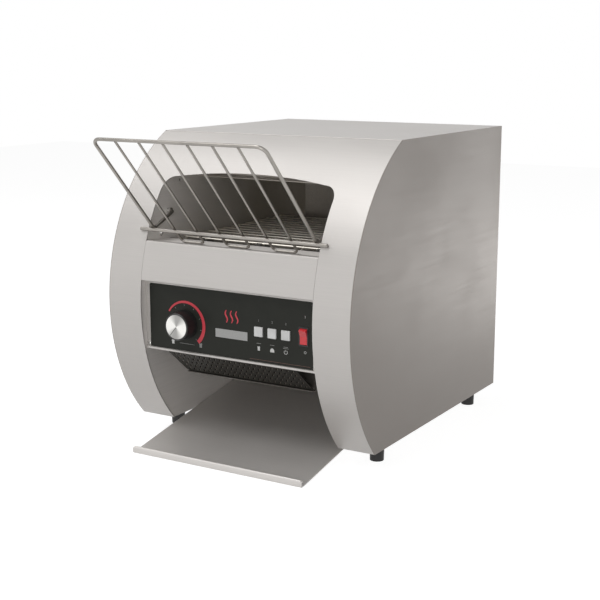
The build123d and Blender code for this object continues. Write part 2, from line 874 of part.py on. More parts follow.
with BuildPart() as shaft_bearings:
    for side in (-1, 1):
        with BuildSketch(from_side(side * (half_chamber - bearing_inside))):
            with Locations(*shaft_places):
                Circle(bearing_radius)
                Circle(shaft_radius + running_gap, mode=Mode.SUBTRACT)
        extrude(amount=side * (bearing_inside + sheet))
        with BuildSketch(from_side(side * wall_back)):
            with Locations(*shaft_places):
                RegularPolygon(bearing_flange, 4)
                Circle(shaft_radius + running_gap, mode=Mode.SUBTRACT)
        extrude(amount=side * bearing_thick)

rail_top = shaft_height + belt_radius - belt_wire / 2 - fit_gap
rail_from = idler_place[0] + belt_radius + rail_end
rail_to = drive_place[0] - belt_radius - rail_end
bar_z = rail_top - rail_height - running_gap - rail_bar / 2
bar_places = ((rail_from + bar_inset + rail_bar / 2, bar_z), (rail_to - bar_inset - rail_bar / 2, bar_z))
with BuildPart() as belt_rails:
    for x in (-rail_x, rail_x):
        with BuildSketch(from_side(x - rail_width / 2)):
            with Locations(((rail_from + rail_to) / 2, rail_top - rail_height / 2)):
                Rectangle(rail_to - rail_from, rail_height)
        extrude(amount=rail_width)
    with BuildSketch(Plane.YZ):
        with Locations(*bar_places):
            Rectangle(rail_bar, rail_bar)
    extrude(amount=half_liner, both=True)

# ---------------------------------------------------------------- chain drive
driven_radius = driven_teeth * chain_pitch / (2 * pi)
driving_radius = driving_teeth * chain_pitch / (2 * pi)
spare_links = 2 * chain_links - driven_teeth - driving_teeth
chain_centres = (
    chain_pitch
    / 8
    * (spare_links + sqrt(spare_links**2 - 8 / pi**2 * (driven_teeth - driving_teeth) ** 2))
)
chain_way = radians(-90 - chain_lean)
motor_place = (
    drive_place[0] + chain_centres * cos(chain_way),
    drive_place[1] + chain_centres * sin(chain_way),
)
# The chain leaves both sprockets where its straight runs are tangent to their pitch circles.
chain_wrap = asin((driven_radius - driving_radius) / chain_centres)
chain_straight = sqrt(chain_centres**2 - (driven_radius - driving_radius) ** 2)
chain_arcs = (driven_radius * (pi + 2 * chain_wrap), driving_radius * (pi - 2 * chain_wrap))
chain_step = (2 * chain_straight + sum(chain_arcs)) / chain_links
chain_start = chain_way + pi / 2 - chain_wrap


def around(centre, radius, angle, along=0):
    """A point on a circle at this angle, or moved on along the tangent there."""
    return (
        centre[0] + radius * cos(angle) - along * sin(angle),
        centre[1] + radius * sin(angle) + along * cos(angle),
    )


def chain_point(place):
    """A point on the chain's pitch line, a number of links from where it meets the big wheel."""
    run = (place % chain_links) * chain_step
    leave = chain_start + pi + 2 * chain_wrap
    if run <= chain_arcs[0]:
        return around(drive_place, driven_radius, chain_start + run / driven_radius)
    run -= chain_arcs[0]
    if run <= chain_straight:
        return around(drive_place, driven_radius, leave, run)
    run -= chain_straight
    if run <= chain_arcs[1]:
        return around(motor_place, driving_radius, leave + run / driving_radius)
    return around(motor_place, driving_radius, chain_start, run - chain_arcs[1])


inner_face = chain_roller_width / 2
with BuildPart() as drive_chain:
    with BuildSketch(from_side(chain_x)):
        for link in range(chain_links):
            with Locations(chain_point(link)):
                RegularPolygon(roller_radius, 6)
    extrude(amount=chain_roller_width / 2, both=True)
    for side in (-1, 1):
        for parity, start in ((0, inner_face - 0.1), (1, inner_face + chain_plate - 0.2)):
            with BuildSketch(from_side(chain_x + side * start)):
                with BuildLine():
                    for link in range(parity, chain_links, 2):
                        here, there = chain_point(link), chain_point(link + 1)
                        far = hypot(there[0] - here[0], there[1] - here[1]) + roller_radius
                        Line(toward(here, there, -roller_radius), toward(here, there, far))
                trace(line_width=plate_height)
            extrude(amount=side * chain_plate)


def make_chain_sprocket(place, teeth, pitch_radius, first_seat, bore):
    """A roller-chain sprocket."""
    with BuildPart() as wheel:
        width = chain_roller_width - 1
        sketch_plane = Plane(origin=(chain_x - width / 2, *place), x_dir=(0, 1, 0), z_dir=(1, 0, 0))
        with BuildSketch(sketch_plane):
            sprocket_outline(
                teeth,
                pitch_radius,
                roller_radius + fit_gap,
                chain_tooth_rise,
                degrees(first_seat),
                chain_tooth_root,
                chain_tooth_tip,
            )
            Circle(bore + running_gap, mode=Mode.SUBTRACT)
        extrude(amount=width)
    return wheel


driving_run = chain_arcs[0] + chain_straight
driving_first = ceil(driving_run / chain_step)
driving_late = (driving_first * chain_step - driving_run) / driving_radius
driving_seat = chain_start + pi + 2 * chain_wrap + driving_late
driven_sprocket = make_chain_sprocket(drive_place, driven_teeth, driven_radius, chain_start, shaft_radius)
motor_sprocket = make_chain_sprocket(
    motor_place, driving_teeth, driving_radius, driving_seat, motor_shaft_radius
)

gearbox_face = chain_x - gearbox_room
gearbox_back = gearbox_face - sheet
gearbox_width = half_inside + gearbox_back - gearbox_clearance
with BuildPart() as gearmotor_gearbox:
    with BuildSketch(from_side(gearbox_back)):
        with Locations((motor_place[0] - gearbox_forward, motor_place[1] - gearbox_drop)):
            RectangleRounded(gearbox_length, gearbox_height, gearbox_corner)
        with Locations(motor_place):
            Circle(motor_shaft_radius + running_gap, mode=Mode.SUBTRACT)
    extrude(amount=-gearbox_width)

shaft_from = gearbox_back - gearbox_width / 2
shaft_to = chain_x + chain_roller_width / 2 + 1
with BuildPart() as gearmotor_shaft:
    with BuildSketch(from_side(shaft_from)):
        with Locations(motor_place):
            Circle(motor_shaft_radius)
    extrude(amount=shaft_to - shaft_from)

motor_radius = (half_inside + gearbox_back) / 2 - motor_clearance
motor_x = (gearbox_back - half_inside) / 2
motor_front = motor_place[0] - gearbox_forward - gearbox_length / 2
motor_height = motor_place[1] - motor_drop
with BuildPart() as gearmotor_motor:
    for start, radius, length in (
        (0, motor_radius, motor_length),
        (motor_length, motor_cap_radius, motor_cap_length),
    ):
        with BuildSketch(
            Plane(origin=(motor_x, motor_front - start, motor_height), x_dir=(1, 0, 0), z_dir=(0, -1, 0))
        ):
            Circle(radius)
        extrude(amount=length)

bracket_back = -wall_back - sheet / 2
bracket_plate = gearbox_face - sheet / 2
bracket_front = motor_front - 1
bracket_rear = motor_place[0] + bracket_behind
with BuildPart() as motor_bracket:
    with BuildSketch(Plane.XY.offset(motor_place[1] - bracket_drop)):
        with BuildLine():
            Polyline(
                (bracket_back, bracket_front - bracket_foot),
                (bracket_back, bracket_front),
                (bracket_plate, bracket_front),
                (bracket_plate, bracket_rear),
                (bracket_back, bracket_rear),
                (bracket_back, bracket_rear + bracket_foot),
            )
        trace(line_width=sheet)
    extrude(amount=bracket_height)
    with BuildSketch(from_side(bracket_plate)):
        with Locations(motor_place):
            Circle(3 * motor_shaft_radius)
    extrude(amount=sheet, both=True, mode=Mode.SUBTRACT)

# ---------------------------------------------------------------- tray and chute
# The tray rests on the counter at its front edge and on the base's hem further back.
tray_rise = z_body + sheet + pan_hem + fit_gap - tray_lift
tray_slope = tray_rise / (tray_reach - floor_start)


def tray_z(y):
    """Height of the tray's upper face."""
    return tray_lift + sheet + tray_slope * (y - at_depth(tray_reach))


tray_half = opening_half - fit_gap
with BuildPart() as toast_tray:
    front = at_depth(tray_reach)
    back = at_depth(tray_back)
    with BuildSketch(Plane.YZ):
        with BuildLine():
            FilletPolyline(
                (front - tray_lip_lean, tray_z(front) + tray_lip - sheet),
                (front, tray_z(front) - sheet / 2),
                (back, tray_z(back) - sheet / 2),
                radius=tray_bend,
            )
        trace(line_width=sheet)
    extrude(amount=tray_half, both=True)

with BuildPart() as rear_chute:
    chute_y = at_depth(chute_depth)
    chute_end = at_depth(tray_back) + chute_gap
    with BuildSketch(Plane.YZ):
        with BuildLine():
            FilletPolyline(
                (chute_y, at_height(chamber_mouth) + chute_lap - fit_gap),
                (chute_y, tray_z(chute_y) + chute_step),
                (chute_end, tray_z(chute_end) + chute_step),
                radius=chute_bend,
            )
        trace(line_width=sheet)
    extrude(amount=half_liner, both=True)

# ---------------------------------------------------------------- feed rack
# The rack hangs from two wall studs, and its cross bar rests on the bowed front.
cross_place = (at_depth(cross_depth), at_height(cross_height))


def on_rack(distance, behind_bar):
    """A point on the rack, up from the cross bar and behind it, as (y, z)."""
    up, back = sin(radians(rack_tilt)), cos(radians(rack_tilt))
    return (
        cross_place[0] - back * distance + up * behind_bar,
        cross_place[1] + up * distance + back * behind_bar,
    )


frame_top = on_rack(rack_length, frame_behind)
frame_bend = on_rack(-frame_drop, frame_behind)
loop_low = ledge_top + rack_wire / 2 + fit_gap
loop_run = (on_rack(0, wire_behind)[1] - loop_low) / sin(radians(rack_tilt))
wire_top = on_rack(rack_length - frame_wire / 2 + weld, wire_behind)
wire_low = on_rack(-loop_run, wire_behind)

with BuildPart() as rack_frame:
    with BuildLine() as frame_path:
        half_points = [
            (half_chamber - fit_gap, *pivot_place),
            (rack_half, *pivot_place),
            (rack_half, *frame_bend),
            (rack_half, *frame_top),
        ]
        left_points = [(-x, y, z) for x, y, z in half_points]
        FilletPolyline(
            *left_points,
            *reversed(half_points),
            radius=[pivot_corner, leg_corner, rack_corner, rack_corner, leg_corner, pivot_corner],
        )
    with BuildSketch(Plane(origin=frame_path.line @ 0, z_dir=frame_path.line % 0)):
        RegularPolygon(frame_wire / 2, frame_sides)
    sweep()

with BuildPart() as rack_wires:
    for pair in range(wire_pairs):
        x_left = (2 * pair + 1) * wire_pitch - rack_half
        x_right = x_left + wire_pitch
        with BuildLine() as wire_path:
            FilletPolyline(
                (x_left, *wire_top),
                (x_left, *wire_low),
                (x_right, *wire_low),
                (x_right, *wire_top),
                radius=loop_corner,
            )
        with BuildSketch(Plane(origin=wire_path.line @ 0, z_dir=wire_path.line % 0)):
            RegularPolygon(rack_wire / 2, wire_sides)
        sweep(path=wire_path.line)

with BuildPart() as rack_cross_bar:
    with BuildSketch(Plane.YZ):
        with Locations(cross_place):
            Circle(cross_wire / 2)
    extrude(amount=half_chamber + bar_overhang, both=True)
    chamfer(rack_cross_bar.edges().filter_by(GeomType.CIRCLE), length=bar_chamfer)

with BuildPart() as rack_studs:
    for side in (-1, 1):
        with BuildSketch(from_side(side * half_chamber)):
            with Locations(pivot_place):
                Circle(stud_radius)
                Circle(frame_wire / 2 + running_gap, mode=Mode.SUBTRACT)
        extrude(amount=-side * stud_length)

# ---------------------------------------------------------------- controls
knob_x, knob_z = knob_place
knob_front = y_control - knob_reach
knob_web = knob_front + face_sheet + fit_gap
skirt_back = y_control - overlay_sheet - knob_clearance
nut_room = y_control - overlay_sheet - bush_reach - fit_gap
shaft_bore = control_shaft_radius + running_gap
knob_dish = knob_radius - knob_rim
with BuildPart() as speed_knob:
    with BuildSketch(Plane(origin=(knob_x, 0, knob_z), x_dir=(1, 0, 0), z_dir=(0, 0, 1))):
        with BuildLine():
            Polyline(
                (shaft_bore, nut_room),
                (shaft_bore, knob_web + knob_wall),
                (0, knob_web + knob_wall),
                (0, knob_web),
                (knob_dish, knob_web),
                (knob_dish, knob_front + knob_round / 2),
                (knob_radius - knob_round, knob_front),
                (knob_radius, knob_front + knob_round),
                (knob_radius + knob_flare, skirt_back),
                (control_nut + knob_wall / 2, skirt_back),
                (control_nut + knob_wall / 2, nut_room),
                close=True,
            )
        make_face()
    revolve(axis=Axis((knob_x, 0, knob_z), (0, 1, 0)))

with BuildPart() as knob_face:
    with BuildSketch(facing_front(control_depth + knob_reach - face_sheet - fit_gap)):
        with Locations(knob_place):
            Circle(knob_dish - running_gap)
    extrude(amount=face_sheet)

with BuildPart() as speed_control:
    for depth, radius, length in (
        (control_depth - sheet, control_can_radius, -control_can_length),
        (control_depth - sheet, control_bush_radius, sheet + overlay_sheet + bush_reach),
    ):
        with BuildSketch(facing_front(depth)):
            with Locations(knob_place):
                Circle(radius)
                Circle(shaft_bore, mode=Mode.SUBTRACT)
        extrude(amount=length)
    with BuildSketch(facing_front(control_depth + overlay_sheet)):
        with Locations(knob_place):
            RegularPolygon(control_nut, 6)
            Circle(shaft_bore, mode=Mode.SUBTRACT)
    extrude(amount=control_nut_height)

shaft_depth = control_can_length * 3 / 4
with BuildPart() as speed_control_shaft:
    with BuildSketch(facing_front(control_depth - sheet - shaft_depth)):
        with Locations(knob_place):
            Circle(control_shaft_radius)
    extrude(amount=y_control + sheet + shaft_depth - (knob_web + knob_wall) - running_gap)

flange_gap = 0.1


def make_button(place):
    """A square cap with a retaining flange behind the control panel."""
    with BuildPart() as button:
        with BuildSketch(facing_front(control_depth - sheet - flange_gap)):
            with Locations(place):
                RectangleRounded(button_size, button_size, button_corner)
        extrude(amount=flange_gap + sheet + overlay_sheet + button_reach)
        chamfer(button.faces().sort_by(Axis.Y)[0].edges(), length=button_corner / 2)
        with BuildSketch(facing_front(control_depth - sheet - flange_gap)):
            with Locations(place):
                Rectangle(button_size + 2 * button_lap, button_size + 2 * button_lap)
        extrude(amount=-button_flange)
    return button


bread_button, bun_button, standby_button = (make_button(place) for place in button_places)

button_back = control_depth - sheet - flange_gap - button_flange
board_depth = button_back - button_travel - fit_gap - key_height
board_width = (button_count - 1) * button_pitch + 2 * board_margin
board_place = ((button_places[0][0] + button_places[-1][0]) / 2, button_z)
with BuildPart() as control_board:
    with BuildSketch(facing_front(board_depth)):
        with Locations(board_place):
            Rectangle(board_width, board_height)
    extrude(amount=-board_sheet)
    with BuildSketch(facing_front(board_depth)):
        with Locations(*button_places):
            Rectangle(key_size, key_size)
    extrude(amount=key_height)
    with BuildSketch(facing_front(board_depth)):
        with Locations(board_place):
            with GridLocations(board_width - 2 * post_inset, board_height - 2 * post_inset, 2, 2):
                RegularPolygon(post_radius, 6)
    extrude(amount=control_depth - sheet - board_depth)

rocker_x = rocker_place[0]
rocker_pivot = (y_control + rocker_set, rocker_place[1])
with BuildPart() as rocker_housing:
    with BuildSketch(facing_front(control_depth + overlay_sheet)):
        with Locations(rocker_place):
            RectangleRounded(rocker_hole[0] + 2 * rocker_bezel, rocker_hole[1] + 2 * rocker_bezel, 1)
            Rectangle(*rocker_hole, mode=Mode.SUBTRACT)
    extrude(amount=bezel_sheet)
    with BuildSketch(facing_front(control_depth + overlay_sheet)):
        with Locations(rocker_place):
            Rectangle(*rocker_body)
            Rectangle(*rocker_hole, mode=Mode.SUBTRACT)
    extrude(amount=-rocker_collar)
    with BuildSketch(facing_front(control_depth + overlay_sheet - rocker_collar)):
        with Locations(rocker_place):
            Rectangle(*rocker_body)
    extrude(amount=rocker_collar - rocker_depth)
    with BuildSketch(from_side(rocker_x)):
        with Locations(rocker_pivot):
            Circle(rocker_pin + running_gap)
    extrude(amount=rocker_body[0] / 2, both=True, mode=Mode.SUBTRACT)

with BuildPart() as power_rocker:
    half = rocker_height / 2
    with BuildSketch(from_side(rocker_x)):
        with Locations(rocker_pivot):
            Circle(half)
            Polygon(
                (-rocker_face, -2 * half),
                (-rocker_face, 0),
                (-rocker_face - 2 * half * tan(radians(rocker_swing)), 2 * half),
                (-3 * half, 2 * half),
                (-3 * half, -2 * half),
                align=None,
                mode=Mode.SUBTRACT,
            )
            with Locations((half + rocker_back, 0)):
                Rectangle(2 * half, 3 * half, mode=Mode.SUBTRACT)
    extrude(amount=rocker_width / 2, both=True)
    with BuildSketch(from_side(rocker_x)):
        with Locations(rocker_pivot):
            Circle(rocker_pin)
    extrude(amount=rocker_body[0] / 2 - running_gap, both=True)

# ---------------------------------------------------------------- side compartments
terminal_place = (at_depth(terminal_depth), at_height(terminal_height))
way_pitch = terminal_size[0] / (terminal_ways + 1)
with BuildPart() as terminal_block:
    with BuildSketch(from_side(wall_back)):
        with Locations(terminal_place):
            Rectangle(*terminal_size)
    extrude(amount=terminal_reach)
    with BuildSketch(from_side(wall_back + terminal_reach)):
        with Locations(terminal_place):
            with GridLocations(way_pitch, 0, terminal_ways, 1):
                Rectangle(way_pitch * 0.6, terminal_size[1] - 6)
    extrude(amount=-terminal_reach / 3, mode=Mode.SUBTRACT)

with BuildPart() as power_relays:
    with BuildSketch(from_side(wall_back)):
        with Locations(*[(at_depth(depth), at_height(relay_place_height)) for depth in relay_depths]):
            Rectangle(relay_length, relay_height)
    extrude(amount=relay_reach)
    chamfer(power_relays.edges().group_by(Axis.X)[-1], length=2)

thermostat_place = (at_depth(hood_depth - thermostat_setback), at_height(ceiling_height - thermostat_drop))
with BuildPart() as limit_thermostat:
    with BuildSketch(from_side(wall_back)):
        with Locations(thermostat_place):
            Circle(thermostat_radius)
    extrude(amount=thermostat_reach)
    with BuildSketch(from_side(wall_back)):
        with Locations(thermostat_place):
            SlotCenterToCenter(2.4 * thermostat_radius, thermostat_radius)
    extrude(amount=sheet)

# ---------------------------------------------------------------- cooling
fan_opening = fan_bore + fan_bore_room
arm_length = fan_opening - fan_hub
with BuildPart() as fan_frame:
    with BuildSketch(facing_front(sheet)):
        with Locations(fan_place):
            RectangleRounded(fan_size, fan_size, fan_corner)
            Circle(fan_opening, mode=Mode.SUBTRACT)
            with PolarLocations(fan_hub + arm_length / 2, 4, start_angle=45):
                Rectangle(arm_length + fan_arm, fan_arm)
            Circle(fan_hub)
            Circle(fan_pin + running_gap, mode=Mode.SUBTRACT)
    extrude(amount=fan_spider)
    with BuildSketch(facing_front(sheet + fan_spider)):
        with Locations(fan_place):
            RectangleRounded(fan_size, fan_size, fan_corner)
            Circle(fan_opening, mode=Mode.SUBTRACT)
    extrude(amount=fan_depth - fan_spider)

rotor_back = sheet + fan_spider + fit_gap
rotor_length = fan_depth - fan_spider - fan_front_room
with BuildPart() as fan_rotor:
    with BuildSketch(facing_front(rotor_back)):
        with Locations(fan_place):
            Circle(fan_hub)
    extrude(amount=rotor_length)
    with BuildSketch(facing_front(rotor_back)):
        with Locations(fan_place):
            Circle(fan_pin)
    extrude(amount=-fan_spider)
    for blade in range(fan_blades):
        turn = radians(360 * blade / fan_blades)
        pitch = radians(blade_pitch)
        blade_plane = Plane(
            origin=(fan_place[0], at_depth(rotor_back + rotor_length / 2), fan_place[1]),
            x_dir=(sin(turn), 0, cos(turn)),
            z_dir=(cos(turn) * cos(pitch), sin(pitch), -sin(turn) * cos(pitch)),
        )
        with BuildSketch(blade_plane):
            with Locations((fan_hub + blade_length / 2 - 1, 0)):
                Rectangle(blade_length, blade_chord)
        extrude(amount=blade_sheet / 2, both=True)

with BuildPart() as cord_gland:
    for start, radius, length in (
        (0, gland_flange, gland_collar),
        (0, gland_thread + 1, gland_reach),
        (0, gland_thread, -gland_inside),
    ):
        with BuildSketch(Plane(origin=(0, at_depth(start), 0), x_dir=(1, 0, 0), z_dir=(0, 1, 0))):
            with Locations((gland_place[0], -gland_place[1])):
                Circle(radius)
        extrude(amount=length)
    chamfer(cord_gland.faces().sort_by(Axis.Y)[-1].edges(), length=gland_collar / 2)
    with BuildSketch(facing_front(sheet)):
        with Locations(gland_place):
            RegularPolygon(gland_flange, 6)
    extrude(amount=gland_inside / 3)
    with BuildSketch(facing_front(-gland_reach)):
        with Locations(gland_place):
            Circle(gland_bore)
    extrude(amount=gland_reach + gland_inside, mode=Mode.SUBTRACT)

# ---------------------------------------------------------------- feet and fasteners
with BuildPart() as feet:
    with Locations(*foot_places):
        Cone(
            foot_bottom_radius,
            foot_top_radius,
            foot_height,
            align=(Align.CENTER, Align.CENTER, Align.MIN),
        )

with BuildPart() as foot_studs:
    with BuildSketch(Plane.XY.offset(z_body)):
        with Locations(*foot_places):
            RegularPolygon(foot_stud, 8)
    extrude(amount=sheet + foot_nut_height + stud_end)
    with BuildSketch(Plane.XY.offset(z_body + sheet)):
        with Locations(*foot_places):
            RegularPolygon(foot_nut, 6)
    extrude(amount=foot_nut_height)

with BuildPart() as wall_screws:
    for side in (-1, 1):
        with BuildSketch(from_side(side * half_chamber)):
            with Locations(wall_screw_place):
                Circle(wall_screw_radius)
        extrude(amount=-side * wall_screw_height)
    rims = wall_screws.edges().filter_by(GeomType.CIRCLE).sort_by(lambda edge: abs(edge.center().X))
    chamfer(rims[:2], length=wall_screw_height / 2)

pieces = {
    "base_pan": base_pan,
    "left_side_panel": left_side_panel,
    "right_side_panel": right_side_panel,
    "top_cover": top_cover,
    "front_shroud": front_shroud,
    "rear_panel": rear_panel,
    "left_inner_wall": left_inner_wall,
    "right_inner_wall": right_inner_wall,
    "front_panel": front_panel,
    "control_panel": control_panel,
    "control_overlay": control_overlay,
    "vent_plate": vent_plate,
    "control_shield": control_shield,
    "entry_ledge": entry_ledge,
    "chamber_front_plate": chamber_front_plate,
    "upper_reflector": upper_reflector,
    "lower_reflector": lower_reflector,
    "under_belt_shield": under_belt_shield,
    "upper_elements": upper_elements,
    "lower_elements": lower_elements,
    "element_ends": element_ends,
    "conveyor_belt": conveyor_belt,
    "belt_rails": belt_rails,
    "drive_shaft": drive_shaft,
    "drive_sprockets": drive_sprockets,
    "driven_sprocket": driven_sprocket,
    "idler_shaft": idler_shaft,
    "idler_sprockets": idler_sprockets,
    "shaft_bearings": shaft_bearings,
    "drive_chain": drive_chain,
    "motor_sprocket": motor_sprocket,
    "gearmotor_shaft": gearmotor_shaft,
    "gearmotor_gearbox": gearmotor_gearbox,
    "gearmotor_motor": gearmotor_motor,
    "motor_bracket": motor_bracket,
    "toast_tray": toast_tray,
    "rear_chute": rear_chute,
    "rack_frame": rack_frame,
    "rack_wires": rack_wires,
    "rack_cross_bar": rack_cross_bar,
    "rack_studs": rack_studs,
    "speed_knob": speed_knob,
    "knob_face": knob_face,
    "speed_control": speed_control,
    "speed_control_shaft": speed_control_shaft,
    "bread_button": bread_button,
    "bun_button": bun_button,
    "standby_button": standby_button,
    "control_board": control_board,
    "rocker_housing": rocker_housing,
    "power_rocker": power_rocker,
    "terminal_block": terminal_block,
    "power_relays": power_relays,
    "limit_thermostat": limit_thermostat,
    "fan_frame": fan_frame,
    "fan_rotor": fan_rotor,
    "cord_gland": cord_gland,
    "feet": feet,
    "foot_studs": foot_studs,
    "wall_screws": wall_screws,
}
os.makedirs("parts", exist_ok=True)
for name, piece in pieces.items():
    piece.part.label = name
    export_step(piece.part, f"parts/{name}.step")
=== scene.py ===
import bpy
import json
import math
from mathutils import Matrix, Vector


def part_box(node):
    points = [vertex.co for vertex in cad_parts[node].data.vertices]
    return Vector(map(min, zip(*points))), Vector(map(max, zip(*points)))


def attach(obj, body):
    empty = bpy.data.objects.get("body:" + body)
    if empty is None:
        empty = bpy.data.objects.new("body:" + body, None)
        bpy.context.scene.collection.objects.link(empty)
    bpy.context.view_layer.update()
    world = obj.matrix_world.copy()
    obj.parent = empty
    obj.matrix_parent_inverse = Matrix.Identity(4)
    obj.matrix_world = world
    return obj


# The looks of the conveyor toaster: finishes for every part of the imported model, the printing on
# its controls, small screws, punched and folded edges, and the studio with its lamps and camera.
# Sizes are in metres, in the model's own frame.

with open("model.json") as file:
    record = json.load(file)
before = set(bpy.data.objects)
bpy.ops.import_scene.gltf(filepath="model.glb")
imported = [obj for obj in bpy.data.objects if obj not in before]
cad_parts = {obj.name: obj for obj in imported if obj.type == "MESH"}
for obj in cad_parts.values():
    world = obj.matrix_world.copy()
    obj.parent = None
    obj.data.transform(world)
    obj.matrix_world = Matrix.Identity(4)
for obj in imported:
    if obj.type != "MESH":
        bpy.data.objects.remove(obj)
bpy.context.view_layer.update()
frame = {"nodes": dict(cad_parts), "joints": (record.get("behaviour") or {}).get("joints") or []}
nodes = frame["nodes"]
joint_at = {joint["name"]: Vector(joint.get("pos_m") or (0, 0, 0)) for joint in frame["joints"]}
MM = 0.001
CASING = "toaster_body"
BUTTONS = ("bread_button", "bun_button", "standby_button")
PRINT_LIFT = 0.06 * MM  # how far the printing stands in front of the overlay


# ---------------------------------------------------------------- places read from the model
overlay_low, overlay_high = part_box("control_overlay")
print_y = overlay_low.y - PRINT_LIFT
knob_axis = joint_at["speed_knob_turn"]
knob_place = (knob_axis.x, knob_axis.z)
rocker_axis = joint_at["power_rocker_tilt"]
button_places = [sum(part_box(name), Vector()) / 2 for name in BUTTONS]


# ---------------------------------------------------------------- node helpers
MIX_FIRST, MIX_SECOND, MIX_RESULT = 6, 7, 2  # the colour sockets of a mix node


def shade(colour, factor):
    """A colour made darker or lighter."""
    return tuple(min(1.0, channel * factor) for channel in colour)


class Graph:
    """The node tree of a material or of the world, built node by node."""

    def __init__(self, owner):
        owner.use_nodes = True
        self.nodes = owner.node_tree.nodes
        self.links = owner.node_tree.links

    def add(self, kind, **settings):
        """A new node: settings that name an input set its value, the others set the node itself."""
        node = self.nodes.new(kind)
        for key, value in settings.items():
            if key in node.inputs:
                node.inputs[key].default_value = value
            else:
                setattr(node, key, value)
        return node

    def link(self, source, target):
        self.links.new(source, target)

    def put(self, value, socket):
        """Links a socket, or sets a number or a colour in place."""
        if isinstance(value, bpy.types.NodeSocket):
            self.link(value, socket)
        else:
            socket.default_value = (*value, 1) if isinstance(value, tuple) else value

    def axes(self, space):
        """The X, Y and Z outputs of a point's place in a space."""
        place = self.add("ShaderNodeTexCoord")
        parts = self.add("ShaderNodeSeparateXYZ")
        self.link(place.outputs[space], parts.inputs[0])
        return parts.outputs

    def seen_rays(self):
        """1 for rays that see things (camera, mirror, glass) and 0 for those that light them."""
        path = self.add("ShaderNodeLightPath")
        seen = path.outputs["Is Camera Ray"]
        for kind in ("Is Glossy Ray", "Is Transmission Ray"):
            seen = self.combine("MAXIMUM", seen, path.outputs[kind])
        return seen

    def noise(self, scale, stretch=(1, 1, 1), detail=3, roughness=0.5):
        """Noise in the part's own space, drawn out along an axis by a small stretch there."""
        place = self.add("ShaderNodeTexCoord")
        mapping = self.add("ShaderNodeMapping", Scale=stretch)
        texture = self.add("ShaderNodeTexNoise", Scale=scale, Detail=detail, Roughness=roughness)
        self.link(place.outputs["Object"], mapping.inputs["Vector"])
        self.link(mapping.outputs["Vector"], texture.inputs["Vector"])
        return texture.outputs["Fac"]

    def between(self, factor, low, high, span=(0, 1)):
        """A number that goes from low to high as the factor goes through a span of values."""
        ends = {"From Min": span[0], "From Max": span[1], "To Min": low, "To Max": high}
        node = self.add("ShaderNodeMapRange", **ends)
        self.link(factor, node.inputs["Value"])
        return node.outputs["Result"]

    def spread(self, factor, span):
        """A span of a factor's values, spread out from 0 to 1."""
        return self.between(factor, 0, 1, span)

    def combine(self, operation, first, second):
        """One number out of two, such as their sum."""
        node = self.add("ShaderNodeMath", operation=operation)
        self.link(first, node.inputs[0])
        self.link(second, node.inputs[1])
        return node.outputs[0]

    def blend(self, factor, first, second):
        """A colour between two colours. Each of the three is a value or a socket."""
        node = self.add("ShaderNodeMix", data_type="RGBA")
        self.put(factor, node.inputs["Factor"])
        self.put(first, node.inputs[MIX_FIRST])
        self.put(second, node.inputs[MIX_SECOND])
        return node.outputs[MIX_RESULT]

    def vary(self, factor, colour, least, most):
        """A colour that goes from its darker shade to its lighter one."""
        return self.blend(factor, shade(colour, least), shade(colour, most))


class Shader(Graph):
    """One procedural material."""

    def __init__(self, name):
        self.material = bpy.data.materials.new(name)
        super().__init__(self.material)
        self.surface = self.nodes["Principled BSDF"]

    def set(self, **values):
        """Values on the surface shader's own sockets, with underscores for spaces."""
        for key, value in values.items():
            self.surface.inputs[key.replace("_", " ")].default_value = value

    def feed(self, **sources):
        """Links into the surface shader's own sockets, with underscores for spaces."""
        for key, source in sources.items():
            self.link(source, self.surface.inputs[key.replace("_", " ")])

    def bump(self, height, strength, depth=0.05):
        """Relief that is so many millimetres deep."""
        node = self.add("ShaderNodeBump", Strength=strength, Distance=depth * MM)
        self.link(height, node.inputs["Height"])
        self.link(node.outputs["Normal"], self.surface.inputs["Normal"])


# ---------------------------------------------------------------- materials
GRAIN_FINE = 900  # noise cells per metre across the grain
GRAIN_DRAWN = 0.012  # how much the noise is drawn out along the grain
GRAIN_ROUGHNESS = 0.65  # how much of the grain is in its finest lines
GRAIN_CONTRAST = 0.05  # how much lighter and darker the grain's lines are
GRAIN_DULL = 0.05  # how much rougher and smoother they are
CLOUDS = 7  # wiped patches per metre
MIDDLE, NARROW = (0.3, 0.7), (0.35, 0.65)  # spans of a noise that a blend goes through
PAINTED_SHADE_REACH = (-0.12, 0.1)  # y at the chamber's mouth, where the painted shade starts, and where it is full
PAINTED_SHADE_RISE = (0.25, 0.28)  # the same in z, about the belt
FAN_START = 1.2  # radians that turn the painted highlight sectors of the knob's face into place
FAN_SWEEP = 4 * math.pi  # two sectors of painted shade and two of painted highlight in one turn
SPUN_RINGS = 4200  # turning marks per metre of the knob's radius


def brushed_steel(name, colour, grain, roughness=0.45, cloud=0.025, metallic=0.32):
    """Satin sheet: fine grain along one axis, faint clouds where it has been wiped."""
    shader = Shader(name)
    stretch = [1.0, 1.0, 1.0]
    stretch["XYZ".index(grain)] = GRAIN_DRAWN
    fine = shader.noise(GRAIN_FINE, stretch, detail=4, roughness=GRAIN_ROUGHNESS)
    clouds = shader.noise(CLOUDS)
    lines = shader.spread(fine, MIDDLE)
    grained = shader.vary(lines, colour, 1 - GRAIN_CONTRAST, 1 + GRAIN_CONTRAST)
    wiped = shader.vary(shader.spread(clouds, NARROW), colour, 1 - cloud, 1 + cloud)
    dull_lines = shader.between(fine, -GRAIN_DULL, GRAIN_DULL, MIDDLE)
    dull_clouds = shader.between(clouds, roughness - 0.03, roughness + 0.04, NARROW)
    shader.feed(
        Base_Color=shader.blend(0.5, grained, wiped),
        Roughness=shader.combine("ADD", dull_lines, dull_clouds),
    )
    shader.bump(fine, strength=0.1)
    shader.set(Metallic=metallic)
    return shader.material


